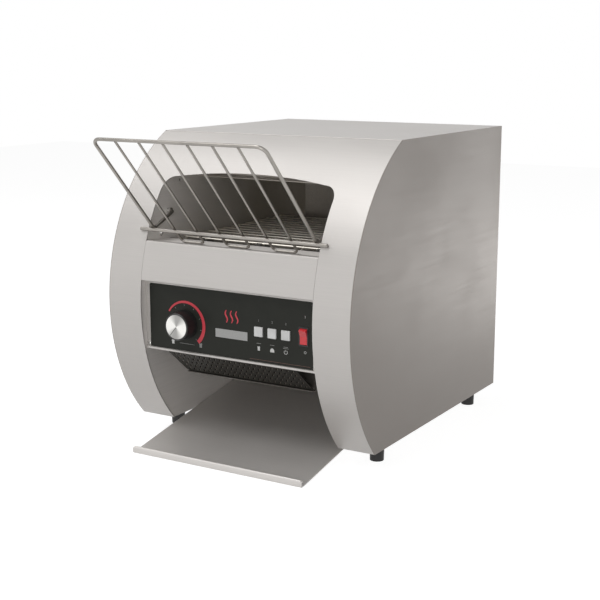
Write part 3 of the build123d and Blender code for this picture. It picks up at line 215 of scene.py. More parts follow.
def stained_steel(name, colour, stain_and_shade):
    """Liner sheet with its grain along Y, which heat has browned in soft patches."""
    shader = Shader(name)
    fine = shader.noise(600, stretch=(1, 0.03, 1))
    patches = shader.noise(9, detail=4, roughness=0.6)
    browned = shader.blend(shader.spread(patches, (0.4, 0.7)), colour, stain_and_shade)
    lines = shader.between(fine, 0, 0.35, NARROW)
    shader.feed(
        Base_Color=shader.blend(lines, browned, shade(colour, 0.6)),
        Roughness=shader.between(patches, 0.36, 0.52),
    )
    shader.bump(fine, strength=0.12)
    shader.set(Metallic=0.4)
    return shader.material


def heated_steel(name, colour, stain_and_shade):
    """Wall sheet with painted shade: its colour darkens to a brown-grey towards the back of the
    chamber, above the belt.
    """
    shader = Shader(name)
    fine = shader.noise(GRAIN_FINE, (1, GRAIN_DRAWN, 1), detail=4, roughness=GRAIN_ROUGHNESS)
    patches = shader.noise(11, detail=4)
    axes = shader.axes("Object")
    inward = shader.spread(axes["Y"], PAINTED_SHADE_REACH)
    above = shader.spread(axes["Z"], PAINTED_SHADE_RISE)
    uneven = shader.between(patches, 0.85, 1.1, MIDDLE)
    # Painted shade: deeper into the chamber and above the belt, a little uneven.
    painted_shade = shader.combine("MULTIPLY", shader.combine("MULTIPLY", inward, above), uneven)
    lines = shader.between(fine, 0, 0.12, NARROW)
    shader.feed(
        Base_Color=shader.blend(lines, shader.blend(painted_shade, colour, stain_and_shade), shade(colour, 0.5)),
        Roughness=shader.between(patches, 0.46, 0.56),
    )
    shader.bump(fine, strength=0.1)
    shader.set(Metallic=0.12)
    return shader.material


def bright_wire(name, colour, roughness):
    """Drawn and plated wire: faint draw marks and a little tarnish."""
    shader = Shader(name)
    marks = shader.noise(260)
    tarnish = shader.noise(35)
    tarnished = shader.spread(tarnish, (0.45, 0.75))
    shader.feed(
        Base_Color=shader.blend(tarnished, colour, shade(colour, 0.8)),
        Roughness=shader.between(marks, roughness, roughness + 0.14),
    )
    shader.bump(marks, strength=0.05, depth=0.03)
    shader.set(Metallic=1.0)
    return shader.material


def oiled_steel(name, colour):
    """Dark working steel with oil in its low spots."""
    shader = Shader(name)
    spots = shader.noise(180, detail=5, roughness=0.7)
    shader.feed(
        Base_Color=shader.blend(shader.spread(spots, (0.35, 0.7)), shade(colour, 0.55), colour),
        Roughness=shader.between(spots, 0.25, 0.55),
    )
    shader.bump(spots, strength=0.1)
    shader.set(Metallic=0.95)
    return shader.material


def moulded(name, colour, roughness=0.4, texture=1400, depth=0.02, coat=0.0, gloss=0.5):
    """Moulded plastic or rubber: fine leather-like texture, slight colour drift."""
    shader = Shader(name)
    fine = shader.noise(texture, detail=2)
    drift = shader.noise(40, detail=2)
    shader.feed(
        Base_Color=shader.vary(shader.spread(drift, MIDDLE), colour, 0.9, 1.1),
        Roughness=shader.between(fine, roughness - 0.05, roughness + 0.07),
    )
    shader.bump(fine, strength=0.15, depth=depth)
    shader.set(Coat_Weight=coat, Specular_IOR_Level=gloss)
    return shader.material


def printed(name, colour):
    """Ink on the overlay, a little uneven."""
    shader = Shader(name)
    uneven = shader.noise(900, detail=2)
    shader.feed(Base_Color=shader.vary(shader.spread(uneven, MIDDLE), colour, 0.92, 1.06))
    shader.set(Roughness=0.42)
    return shader.material


def spun_aluminium(name, colour):
    """Turned face: rings round the knob's axis, and a painted highlight and painted shade in
    sectors that fan out from its centre.
    """
    shader = Shader(name)
    place = shader.add("ShaderNodeTexCoord")
    offset = shader.add("ShaderNodeVectorMath", operation="SUBTRACT")
    offset.inputs[1].default_value = knob_axis
    shader.link(place.outputs["Object"], offset.inputs[0])

    flat = shader.add("ShaderNodeVectorMath", operation="MULTIPLY")
    flat.inputs[1].default_value = (1, 0, 1)
    distance = shader.add("ShaderNodeVectorMath", operation="LENGTH")
    rings = shader.add("ShaderNodeTexNoise", noise_dimensions="1D", Scale=SPUN_RINGS, Detail=3)
    shader.link(offset.outputs[0], flat.inputs[0])
    shader.link(flat.outputs[0], distance.inputs[0])
    shader.link(distance.outputs["Value"], rings.inputs["W"])
    ring = rings.outputs["Fac"]
    ringed = shader.vary(shader.spread(ring, MIDDLE), colour, 0.88, 1.1)

    turned = shader.add("ShaderNodeMapping", vector_type="POINT")
    turned.inputs["Rotation"].default_value = (math.radians(90), 0, 0)
    fan = shader.add("ShaderNodeTexGradient", gradient_type="RADIAL")
    swing = shader.add("ShaderNodeMath", operation="SINE")
    shader.link(offset.outputs[0], turned.inputs["Vector"])
    shader.link(turned.outputs["Vector"], fan.inputs["Vector"])
    around = shader.between(fan.outputs["Fac"], FAN_START, FAN_START + FAN_SWEEP)
    shader.link(around, swing.inputs[0])
    # Painted highlight and painted shade: two bright and two dark sectors of the face's colour,
    # turning with the knob.
    lit = shader.spread(swing.outputs[0], (-0.9, 0.5))

    tangent = shader.add("ShaderNodeTangent", direction_type="RADIAL", axis="Y")
    shader.feed(
        Base_Color=shader.blend(lit, shade(colour, 0.42), ringed),
        Tangent=tangent.outputs["Tangent"],
    )
    shader.set(Metallic=1.0, Roughness=0.3, Anisotropic=0.85)
    shader.bump(ring, strength=0.08, depth=0.04)
    return shader.material


def quartz(name, clear, frosted):
    """Frosted quartz tube."""
    shader = Shader(name)
    frost = shader.noise(500)
    shader.feed(
        Base_Color=shader.blend(frost, clear, frosted),
        Roughness=shader.between(frost, 0.25, 0.4),
    )
    shader.set(Transmission_Weight=0.35, IOR=1.46)
    return shader.material


STAINLESS = (0.64, 0.613, 0.588)
# The side panels' stainless, darker and warmer than the front's: painted shade.
SIDE_STEEL_PAINTED_SHADE = (0.32, 0.289, 0.264)
MATERIALS = {}


def define(name, make, *colours, **settings):
    """Makes a material of some kind and keeps it under its name."""
    MATERIALS[name] = make(name, *colours, **settings)


define("steel_across", brushed_steel, STAINLESS, grain="X")
# The side panels: painted shade in their darker colour.
define(
    "steel_along", brushed_steel, SIDE_STEEL_PAINTED_SHADE, grain="Y", roughness=0.5, cloud=0.01, metallic=0.35
)
define("steel_tray", brushed_steel, shade(STAINLESS, 0.97), grain="X", roughness=0.42, metallic=0.3)
define("steel_rear", brushed_steel, shade(STAINLESS, 0.85), grain="X", roughness=0.42)
# The inner walls: stainless lightened 1.4 times, which is painted light, darkening to painted shade
# deeper in.
define("steel_inner", heated_steel, shade(STAINLESS, 1.4), (0.40, 0.36, 0.29))
define("liner", stained_steel, (0.62, 0.58, 0.53), (0.46, 0.41, 0.35))
define("wire", bright_wire, (0.33, 0.31, 0.285), roughness=0.26)
define("belt_wire", bright_wire, (0.95, 0.90, 0.82), roughness=0.45)
define("bright_steel", bright_wire, (0.70, 0.69, 0.67), roughness=0.2)
define("shaft_steel", oiled_steel, (0.42, 0.41, 0.40))
define("chain_steel", oiled_steel, (0.20, 0.19, 0.18))
define("bronze", oiled_steel, (0.52, 0.36, 0.18))
define("cast", moulded, (0.36, 0.36, 0.37), roughness=0.5, texture=700, depth=0.08)
define("quartz", quartz, (0.72, 0.69, 0.64), (0.86, 0.84, 0.80))
define("ceramic", moulded, (0.76, 0.73, 0.67), roughness=0.55, depth=0.01)
define(
    "overlay", moulded, (0.020, 0.021, 0.017), roughness=0.5, texture=2600, depth=0.006, gloss=0.2
)
define("dark_steel", stained_steel, (0.13, 0.12, 0.105), (0.08, 0.07, 0.06))
define("vent", moulded, (0.022, 0.020, 0.016), roughness=0.42, texture=1100, gloss=0.25)
# A lighter steel on one edge of each vent slot: a painted highlight.
define("vent_edge", brushed_steel, (0.30, 0.27, 0.22), grain="X", roughness=0.4)
# A lighter copy of the stainless for the tray's hem: a painted highlight.
define("bright_edge", brushed_steel, shade(STAINLESS, 1.3), grain="X", roughness=0.35)
define("black_plastic", moulded, (0.014, 0.014, 0.014), roughness=0.42)
define("motor_black", moulded, (0.02, 0.02, 0.022), roughness=0.32)
define("rubber", moulded, (0.016, 0.015, 0.015), roughness=0.55, depth=0.05)
define("white_plastic", moulded, (0.88, 0.88, 0.87), roughness=0.34, coat=0.2)
define("red_plastic", moulded, (0.78, 0.035, 0.045), roughness=0.28, coat=0.4)
define("board", moulded, (0.02, 0.12, 0.05), roughness=0.35, texture=500, depth=0.03)
define("spun", spun_aluminium, (0.80, 0.79, 0.76))
define("ink_red", printed, (0.74, 0.060, 0.085))
define("ink_white", printed, (0.78, 0.78, 0.76))
define("ink_grey", printed, (0.30, 0.30, 0.29))
define("ink_silver", printed, (0.50, 0.50, 0.49))
define("ink_dark", printed, (0.10, 0.10, 0.095))
define("ink_rust", printed, (0.17, 0.085, 0.07))

FINISH = {
    "steel_across": "front_shroud front_panel top_cover control_panel",
    "steel_along": "left_side_panel right_side_panel",
    "steel_tray": "toast_tray",
    "steel_rear": "rear_panel base_pan",
    "steel_inner": "entry_ledge left_inner_wall right_inner_wall",
    "liner": (
        "chamber_front_plate upper_reflector lower_reflector under_belt_shield rear_chute "
        "belt_rails"
    ),
    "wire": "rack_frame rack_wires rack_cross_bar",
    "belt_wire": "conveyor_belt",
    "bright_steel": "rack_studs wall_screws foot_studs speed_control motor_bracket",
    "shaft_steel": "drive_shaft idler_shaft drive_sprockets idler_sprockets gearmotor_shaft",
    "chain_steel": "drive_chain driven_sprocket motor_sprocket speed_control_shaft",
    "bronze": "shaft_bearings",
    "cast": "gearmotor_gearbox",
    "quartz": "upper_elements lower_elements",
    "ceramic": "element_ends limit_thermostat",
    "overlay": "control_overlay",
    "vent": "vent_plate",
    "dark_steel": "control_shield",
    "black_plastic": (
        "speed_knob rocker_housing terminal_block power_relays fan_frame fan_rotor cord_gland"
    ),
    "motor_black": "gearmotor_motor",
    "rubber": "feet",
    "white_plastic": " ".join(BUTTONS),
    "red_plastic": "power_rocker",
    "board": "control_board",
    "spun": "knob_face",
}
for finish, names in FINISH.items():
    for name in names.split():
        for slot in nodes[name].material_slots:
            slot.material = MATERIALS[finish]


# ---------------------------------------------------------------- mesh helpers
ARC_STEP = 15  # degrees between the points of a small arc


def add_mesh(name, points, faces, finish, body=CASING, smooth=False):
    """A mesh piece that rides on a body."""
    mesh = bpy.data.meshes.new(name)
    mesh.from_pydata(points, [], faces)
    mesh.validate()
    piece = bpy.data.objects.new(name, mesh)
    bpy.context.collection.objects.link(piece)
    mesh.materials.append(MATERIALS[finish])
    for polygon in mesh.polygons:
        polygon.use_smooth = smooth
    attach(piece, body)


def ring_point(radius, degrees):
    """The (x, z) point on a circle, anticlockwise from the right as seen from the front."""
    return (radius * math.cos(math.radians(degrees)), radius * math.sin(math.radians(degrees)))


def arc(centre, radius_x, radius_z, start, end):
    """Points (x, z) round a centre, from one angle to another in degrees."""
    points = []
    for degrees in range(start, end + 1, ARC_STEP):
        x, z = ring_point(1, degrees)
        points.append((centre[0] + radius_x * x, centre[1] + radius_z * z))
    return points


def rectangle(half_x, half_y):
    """The corners of a rectangle about zero."""
    return [(-half_x, -half_y), (half_x, -half_y), (half_x, half_y), (-half_x, half_y)]


def print_shape(name, outline, place, finish):
    """A flat printed shape whose outline is given as (x, z) about its place."""
    points = [(place[0] + x, print_y, place[1] + z) for x, z in outline]
    add_mesh(name, points, [tuple(range(len(points)))], finish)


def print_band(name, middle, place, finish, y=print_y, body=CASING):
    """A printed band along (x, z, half width) points about its place."""
    points, faces = [], []
    for index, (x, z, half) in enumerate(middle):
        before = middle[max(index - 1, 0)]
        after = middle[min(index + 1, len(middle) - 1)]
        along = Vector((after[0] - before[0], after[1] - before[1])).normalized()
        for side in (-half, half):
            points.append((place[0] + x - side * along.y, y, place[1] + z + side * along.x))
        if index:
            faces.append((2 * index - 2, 2 * index - 1, 2 * index + 1, 2 * index))
    add_mesh(name, points, faces, finish, body)


def print_text(name, text, size, place, finish):
    """Plain generic characters in the built-in font."""
    curve = bpy.data.curves.new(name, "FONT")
    curve.body = text
    curve.size = size
    curve.align_x = "CENTER"
    curve.align_y = "CENTER"
    curve.materials.append(MATERIALS[finish])
    piece = bpy.data.objects.new(name, curve)
    piece.rotation_euler = (math.radians(90), 0, 0)
    piece.location = (place[0], print_y, place[1])
    bpy.context.collection.objects.link(piece)
    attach(piece, CASING)


def extruded_outline(name, outline, front, back, finish):
    """A flat piece of some thickness: its (x, z) outline runs from one y to another."""
    count = len(outline)
    points = [(x, front, z) for x, z in outline] + [(x, back, z) for x, z in outline]
    faces = [tuple(range(count)), tuple(reversed(range(count, 2 * count)))]
    for index in range(count):
        following = (index + 1) % count
        faces.append((index, index + count, following + count, following))
    add_mesh(name, points, faces, finish)


# ---------------------------------------------------------------- the overlay's film
# It goes on a little past the overlay's rigid sheet, at the sides and above.
FILM_SIDE, FILM_TOP, FILM_CORNER = 1.6 * MM, 3.8 * MM, 2.5 * MM
FILM_LAP = 0.1 * MM  # how far it lies over the sheet's edges
FILM_LIFT = 0.02 * MM  # how far it stands in front of them
film_x, film_z = overlay_high.x + FILM_SIDE, overlay_high.z + FILM_TOP
lap_x, lap_z = overlay_high.x - FILM_LAP, overlay_high.z - FILM_LAP
film = [(-film_x, overlay_low.z), (-lap_x, overlay_low.z), (-lap_x, lap_z)]
film += [(lap_x, lap_z), (lap_x, overlay_low.z), (film_x, overlay_low.z)]
for corner_x, start in ((film_x - FILM_CORNER, 0), (FILM_CORNER - film_x, 90)):
    film += arc((corner_x, film_z - FILM_CORNER), FILM_CORNER, FILM_CORNER, start, start + 90)
film_front, film_back = overlay_low.y - FILM_LIFT, overlay_high.y - FILM_LIFT
extruded_outline("overlay_border", film, film_front, film_back, "overlay")


# ---------------------------------------------------------------- printing on the controls
# The scale round the knob widens clockwise from its lowest to its highest setting.
SCALE_RADIUS = 29.7 * MM
SCALE_START, SCALE_END = 231, -47  # the knob's two stops, in degrees
BAND_START, BAND_STEPS = 150, 72  # where the printed band begins, in degrees, and its fineness
BAND_HALF_START, BAND_HALF_END = 1.1 * MM, 2.7 * MM
TICK_COUNT, TICK_RADII, TICK_HALF = 9, (24.4 * MM, 26.4 * MM), 0.25 * MM
band = []
for step in range(BAND_STEPS + 1):
    share = step / BAND_STEPS
    turn = BAND_START + (SCALE_END - BAND_START) * share
    half = BAND_HALF_START + (BAND_HALF_END - BAND_HALF_START) * share
    band.append((*ring_point(SCALE_RADIUS, turn), half))
print_band("knob_scale", band, knob_place, "ink_red")
for number in range(TICK_COUNT):
    turn = SCALE_START + (SCALE_END - SCALE_START) * number / (TICK_COUNT - 1)
    ends = [(*ring_point(radius, turn), TICK_HALF) for radius in TICK_RADII]
    print_band(f"knob_tick_{number}", ends, knob_place, "ink_grey")


def slice_outline(width, height):
    """A slice of bread: two lobes on a straight-sided body, in shares of its width and height."""
    side, shoulder = 0.42 * width, 0.12 * height
    lobe_x, lobe_z = 0.27 * width, 0.26 * height
    lobe_radii = (0.24 * width, 0.24 * height)
    points = [(-side, -height / 2), (side, -height / 2), (side, shoulder)]
    points += arc((lobe_x, lobe_z), *lobe_radii, -30, 150)
    points += arc((-lobe_x, lobe_z), *lobe_radii, 30, 210)
    return points + [(-side, shoulder)]


def bun_outline(width, height):
    """A bun seen from the side: a domed top over a flat base, in shares of its width and height."""
    side, brim = width / 2, -0.2 * height
    points = [(-side, -height / 2), (side, -height / 2), (side, brim)]
    points += arc((0, -0.1 * height), side, 0.6 * height, 0, 180)
    return points + [(-side, brim)]


# Icons at the two ends of the scale, and under the three buttons.
SCALE_ICON = (4.6 * MM, 5.8 * MM)
SCALE_ICON_DROP, PALE_ICON_X, DARK_ICON_X = 25.4 * MM, -20 * MM, 24.3 * MM
BUTTON_ICON_DROP = 21.5 * MM
BREAD_ICON, BUN_ICON = (3.8 * MM, 5.6 * MM), (6.0 * MM, 5.2 * MM)
STANDBY_RADIUS, STANDBY_HALF, STANDBY_BAR = 2.4 * MM, 0.3 * MM, (0.6 * MM, 3.2 * MM)
STANDBY_TURNS = range(125, 416, 10)  # degrees round the ring, which is open at the top
icon_z = knob_axis.z - SCALE_ICON_DROP
pale_place, dark_place = [(knob_axis.x + x, icon_z) for x in (PALE_ICON_X, DARK_ICON_X)]
print_shape("pale_slice_icon", slice_outline(*SCALE_ICON), pale_place, "ink_white")
print_shape("dark_slice_icon", slice_outline(*SCALE_ICON), dark_place, "ink_grey")
bread, bun, standby = [(place.x, place.z - BUTTON_ICON_DROP) for place in button_places]
print_shape("bread_icon", slice_outline(*BREAD_ICON), bread, "ink_white")
print_shape("bun_icon", bun_outline(*BUN_ICON), bun, "ink_white")
standby_ring = [(*ring_point(STANDBY_RADIUS, turn), STANDBY_HALF) for turn in STANDBY_TURNS]
standby_bar = [(0, z, STANDBY_HALF) for z in STANDBY_BAR]
print_band("standby_icon_ring", standby_ring, standby, "ink_white")
print_band("standby_icon_bar", standby_bar, standby, "ink_white")

# Numbers above the buttons, and on and off marks at the rocker.
NUMBER_RISE, NUMBER_SIZE = 14.3 * MM, 4.2 * MM
ROCKER_MARK_X, ROCKER_MARK_SIZE = 2 * MM, 4.6 * MM
ROCKER_MARKS = (("on", "I", 25 * MM), ("off", "O", -20 * MM))  # with their rise above its axis
for number, place in enumerate(button_places, 1):
    above = (place.x, place.z + NUMBER_RISE)
    print_text(f"button_number_{number}", str(number), NUMBER_SIZE, above, "ink_grey")
for name, mark, rise in ROCKER_MARKS:
    place = (rocker_axis.x + ROCKER_MARK_X, rocker_axis.z + rise)
    print_text(f"rocker_{name}_mark", mark, ROCKER_MARK_SIZE, place, "ink_white")

# Short plain rules where such a panel has its small print, each given by its half length.
RULE_HALF, LOWER_RULE_HALF = 0.28 * MM, 0.22 * MM  # half widths
BUTTON_RULE, BUTTON_RULE_DROP = 3.2 * MM, 15 * MM
STANDBY_RULE, STANDBY_RULE_DROP = 4.2 * MM, 16.7 * MM
SLICE_RULE, SLICE_RULE_X, SLICE_RULE_DROP = 12 * MM, 2.4 * MM, 0.6 * MM
LOWER_RULE_START, LOWER_RULE_RISE, LOWER_RULE_MARGIN = 30 * MM, 3.4 * MM, 2 * MM


def rule(name, centre_x, centre_z, half_long, finish="ink_grey", half_wide=RULE_HALF):
    """A short straight rule."""
    ends = [(-half_long, 0, half_wide), (half_long, 0, half_wide)]
    print_band(name, ends, (centre_x, centre_z), finish)


for number, place in enumerate(button_places, 1):
    rule(f"button_rule_{number}", place.x, place.z - BUTTON_RULE_DROP, BUTTON_RULE)
place = button_places[BUTTONS.index("standby_button")]
rule("standby_rule", place.x, place.z - STANDBY_RULE_DROP, STANDBY_RULE)
rule("slice_rule", knob_axis.x + SLICE_RULE_X, icon_z - SLICE_RULE_DROP, SLICE_RULE)
lower_x = (LOWER_RULE_START + overlay_high.x) / 2
lower_half = (overlay_high.x - LOWER_RULE_START) / 2 - LOWER_RULE_MARGIN
lower_z = overlay_low.z + LOWER_RULE_RISE
rule("lower_rule", lower_x, lower_z, lower_half, "ink_rust", LOWER_RULE_HALF)

# A generic sign for heat, three waves, and a plain bar under it.
HEAT_PLACE = (5 * MM, overlay_high.z - 28 * MM)
WAVE_PITCH, WAVE_TALL, WAVE_SWING, WAVE_HALF = 8 * MM, 16 * MM, 1.6 * MM, 1.1 * MM
WAVE_TIP = 0.55  # a wave's width at its tips, as a share of its width in the middle
WAVE_STEPS = 24
BAR_PLACE = (4.5 * MM, overlay_low.z + 31 * MM)
BAR_HALF_SIZE = (24.5 * MM, 5.6 * MM)
for number in range(3):
    wave = []
    for step in range(WAVE_STEPS + 1):
        share = step / WAVE_STEPS
        x = (number - 1) * WAVE_PITCH + WAVE_SWING * math.sin(2 * math.pi * share)
        half = WAVE_HALF * (WAVE_TIP + (1 - WAVE_TIP) * math.sin(math.pi * share))
        wave.append((x, (share - 0.5) * WAVE_TALL, half))
    print_band(f"heat_wave_{number + 1}", wave, HEAT_PLACE, "ink_red")
print_shape("plain_bar", rectangle(*BAR_HALF_SIZE), BAR_PLACE, "ink_silver")

# The knob's pointer is a dark line from the middle of its face to the rim.
POINTER_SPAN, POINTER_HALF, POINTER_LIFT = (0.05, 0.98), 0.45 * MM, 0.03 * MM
face_low, face_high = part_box("knob_face")
face_radius = (face_high.x - face_low.x) / 2
pointer_line = [(*ring_point(face_radius * share, SCALE_START), POINTER_HALF) for share in POINTER_SPAN]
pointer_y = face_low.y - POINTER_LIFT
print_band("knob_pointer", pointer_line, knob_place, "ink_dark", y=pointer_y, body="speed_knob")


# ---------------------------------------------------------------- small screws
HEAD_RINGS, HEAD_SIDES = 6, 28  # the fineness of a screw's head
CROSS_LONG, CROSS_WIDE = 0.55, 0.12  # half sizes of its recess's painted shade, as shares of the head's radius
CROSS_RISE = 1.015  # how high the recess's painted shade is laid, as a share of the head's height


def dome_screw(name, centre, outward, radius, height, recess=True):
    """A pan-head screw, its flat side on a panel, its crossed recess shown as a dark cross: painted
    shade.
    """
    points = [Vector((0, 0, height))]
    for ring in range(1, HEAD_RINGS + 1):
        lean = math.pi / 2 * ring / HEAD_RINGS
        reach, rise = radius * math.sin(lean), height * math.cos(lean)
        for side in range(HEAD_SIDES):
            turn = 2 * math.pi * side / HEAD_SIDES
            points.append(Vector((reach * math.cos(turn), reach * math.sin(turn), rise)))
    faces = [(0, 1 + side, 1 + (side + 1) % HEAD_SIDES) for side in range(HEAD_SIDES)]
    for ring in range(HEAD_RINGS - 1):
        near, far = 1 + ring * HEAD_SIDES, 1 + (ring + 1) * HEAD_SIDES
        for side in range(HEAD_SIDES):
            following = (side + 1) % HEAD_SIDES
            faces.append((near + side, far + side, far + following, near + following))
    turned = Vector(outward).to_track_quat("Z", "Y").to_matrix().to_4x4()
    place = Matrix.Translation(Vector(centre)) @ turned
    add_mesh(name, [place @ point for point in points], faces, "bright_steel", smooth=True)
    # The recess is not cut: its dark cross on the head is painted shade.
    if recess:
        long, wide, rise = CROSS_LONG * radius, CROSS_WIDE * radius, CROSS_RISE * height
        for number, corners in enumerate((rectangle(long, wide), rectangle(wide, long))):
            cross = [place @ Vector((x, y, rise)) for x, y in corners]
            add_mesh(f"{name}_cross_{number}", cross, [(0, 1, 2, 3)], "ink_dark")


# Six at the rear and two in the control panel's lower corners. A head is its radius and height.
REAR_HEAD, REAR_MARGIN_X, REAR_MARGIN_Z = (3.6 * MM, 1.9 * MM), 9 * MM, 14 * MM
PANEL_HEAD, PANEL_RISE = (2.4 * MM, 1.3 * MM), 6.5 * MM
rear_low, rear_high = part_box("rear_panel")
rear_left, rear_right = rear_low.x + REAR_MARGIN_X, rear_high.x - REAR_MARGIN_X
rear_bottom, rear_top = rear_low.z + REAR_MARGIN_Z, rear_high.z - REAR_MARGIN_Z
for row, z in enumerate((rear_bottom, (rear_low.z + rear_high.z) / 2, rear_top)):
    for side, x in (("left", rear_left), ("right", rear_right)):
        dome_screw(f"rear_screw_{side}_{row}", (x, rear_high.y, z), (0, 1, 0), *REAR_HEAD)
panel_low, panel_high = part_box("control_panel")
panel_left, panel_right = (overlay_low.x + panel_low.x) / 2, (overlay_high.x + panel_high.x) / 2
for side, x in (("left", panel_left), ("right", panel_right)):
    place = (x, overlay_high.y, panel_low.z + PANEL_RISE)
    dome_screw(f"panel_screw_{side}", place, (0, -1, 0), *PANEL_HEAD)

# The two domed screws of the inner walls.
WALL_HEAD = (3.4 * MM, 3.6 * MM)
screw_low, screw_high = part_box("wall_screws")
screw_y, screw_z = (screw_low.y + screw_high.y) / 2, (screw_low.z + screw_high.z) / 2
for side, x, outward in (("left", screw_low.x, 1), ("right", screw_high.x, -1)):
    place = (x, screw_y, screw_z)
    dome_screw(f"wall_dome_{side}", place, (outward, 0, 0), *WALL_HEAD, recess=False)


# ---------------------------------------------------------------- punched and folded edges
# The vent's slots are punched, and one long edge of each carries a lighter strip, a painted
# highlight.
VENT_COLUMNS, VENT_ROWS, VENT_MARGIN = 24, 5, 4 * MM
VENT_RISE, VENT_REACH = 36.7 * MM, 44 * MM
VENT_LENGTH = 57.3 * MM  # along its slope
VENT_TURN = math.atan2(VENT_RISE, VENT_REACH)
SLOT_LENGTH, SLOT_WIDTH, SLOT_LEAN = 5.6 * MM, 2.2 * MM, math.radians(25)
EDGE_WIDTH, EDGE_RISE, EDGE_FOOT = 0.75 * MM, 0.25 * MM, 0.02 * MM
EDGE_PROFILE = ((0, EDGE_FOOT), (EDGE_WIDTH / 2, EDGE_RISE), (EDGE_WIDTH, EDGE_FOOT))
vent_low, vent_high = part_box("vent_plate")
vent_out = Vector((0, -math.sin(VENT_TURN), -math.cos(VENT_TURN)))
vent_up = Vector((0, -math.cos(VENT_TURN), math.sin(VENT_TURN)))
vent_across = Vector((1, 0, 0))
vent_back = Vector((0, math.cos(VENT_TURN), math.sin(VENT_TURN)))
vent_middle = Vector((0, vent_low.y, vent_low.z)) + vent_back * VENT_LENGTH / 2
column_pitch = 2 * (vent_high.x - VENT_MARGIN) / VENT_COLUMNS
row_pitch = (VENT_LENGTH - VENT_MARGIN) / VENT_ROWS
slot_along = vent_across * math.sin(SLOT_LEAN) + vent_up * math.cos(SLOT_LEAN)
edge_points, edge_faces = [], []
for column in range(VENT_COLUMNS):
    for row in range(VENT_ROWS):
        across = (column - (VENT_COLUMNS - 1) / 2) * column_pitch
        along = (row - (VENT_ROWS - 1) / 2) * row_pitch
        slot = vent_middle + vent_across * (across + SLOT_WIDTH / 2) + vent_up * along
        base = len(edge_points)
        for end in (-SLOT_LENGTH / 2, SLOT_LENGTH / 2):
            for side, rise in EDGE_PROFILE:
                point = slot + slot_along * end + vent_across * side + vent_out * rise
                edge_points.append(point)
        edge_faces.append((base, base + 1, base + 4, base + 3))
        edge_faces.append((base + 1, base + 2, base + 5, base + 4))
add_mesh("vent_slot_edges", edge_points, edge_faces, "vent_edge")

HEM_END_STEPS = 6  # points round each end of a hem


def hem_bar(name, left, right, profile, corner, finish, body):
    """A folded edge along X: a (y, z) profile swept across, its ends rounded at the top."""
    stations = []  # an x and how far the profile's top comes down there
    for end, toward in ((left, 1), (right, -1)):
        part = []
        for step in range(HEM_END_STEPS + 1):
            turn = math.pi / 2 * step / HEM_END_STEPS
            inset, drop = corner * (1 - math.sin(turn)), corner * (1 - math.cos(turn))
            part.append((end + toward * inset, drop))
        stations.extend(reversed(part) if toward > 0 else part)
    top = max(z for _, z in profile)
    points = [(x, y, min(z, top - drop)) for x, drop in stations for y, z in profile]
    count = len(profile)
    faces = []
    for station in range(len(stations) - 1):
        near, far = station * count, (station + 1) * count
        for index in range(count):
            following = (index + 1) % count
            faces.append((near + index, near + following, far + following, far + index))
    faces.append(tuple(range(count)))
    faces.append(tuple(reversed(range(len(points) - count, len(points)))))
    add_mesh(name, points, faces, finish, body, smooth=True)


# The tray's front edge is folded into a hem that stands a little proud of the sheet. Its lighter
# steel is a painted highlight.
HEM_FRONT, HEM_BACK, HEM_RISE, HEM_TOP = 2.0 * MM, 2.2 * MM, 0.35 * MM, 9.6 * MM
HEM_HEEL, HEM_NOSE = 2.4 * MM, 0.9 * MM  # where its back and front turn in, above its foot
HEM_FOOT = 0.6  # the foot's width as a share of the hem's
HEM_CORNER, HEM_TOP_STEPS = 4 * MM, 12
tray_low, tray_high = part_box("toast_tray")
middle = tray_low.y + (HEM_BACK - HEM_FRONT) / 2
reach = (HEM_FRONT + HEM_BACK) / 2
hem = []
for step in range(HEM_TOP_STEPS + 1):
    turn = math.pi * step / HEM_TOP_STEPS
    hem.append((middle - reach * math.cos(turn), HEM_TOP - reach * (1 - math.sin(turn))))
hem += [(middle + reach, HEM_RISE + HEM_HEEL), (middle + reach * HEM_FOOT, HEM_RISE)]
hem += [(middle - reach * HEM_FOOT, HEM_RISE), (middle - reach, HEM_RISE + HEM_NOSE)]
hem_bar("tray_hem", tray_low.x, tray_high.x, hem, HEM_CORNER, "bright_edge", "toast_tray")


# ---------------------------------------------------------------- studio
FLOOR_HALF = 4.0  # metres
FLOOR_TONES = ((0.38, 0.38, 0.38), (0.41, 0.41, 0.41))
FLOOR_GLOW = 0.9  # the part of the seen floor's white that shadows leave
SURROUND_LIGHT = 0.17  # what the surroundings give off
ZENITH_SEEN = 0.6  # how bright they look straight above, where the horizon is 1
HORIZON_TOP = 0.1  # how far up they look as bright as the horizon
WHITE = (1, 1, 1, 1)

floor_mesh = bpy.data.meshes.new("floor")
floor_corners = [(x, y, 0) for x, y in rectangle(FLOOR_HALF, FLOOR_HALF)]
floor_mesh.from_pydata(floor_corners, [], [(0, 1, 2, 3)])
floor = bpy.data.objects.new("floor", floor_mesh)
bpy.context.collection.objects.link(floor)
floor_shader = Shader("floor")
floor_shader.feed(
    Base_Color=floor_shader.blend(floor_shader.noise(2), *FLOOR_TONES),
    Emission_Strength=floor_shader.seen_rays(),
)
floor_white = (FLOOR_GLOW, FLOOR_GLOW, FLOOR_GLOW, 1)
floor_shader.set(Roughness=0.9, Specular_IOR_Level=0.0, Emission_Color=floor_white)
floor_shader.material.cycles.emission_sampling = "NONE"
floor_mesh.materials.append(floor_shader.material)

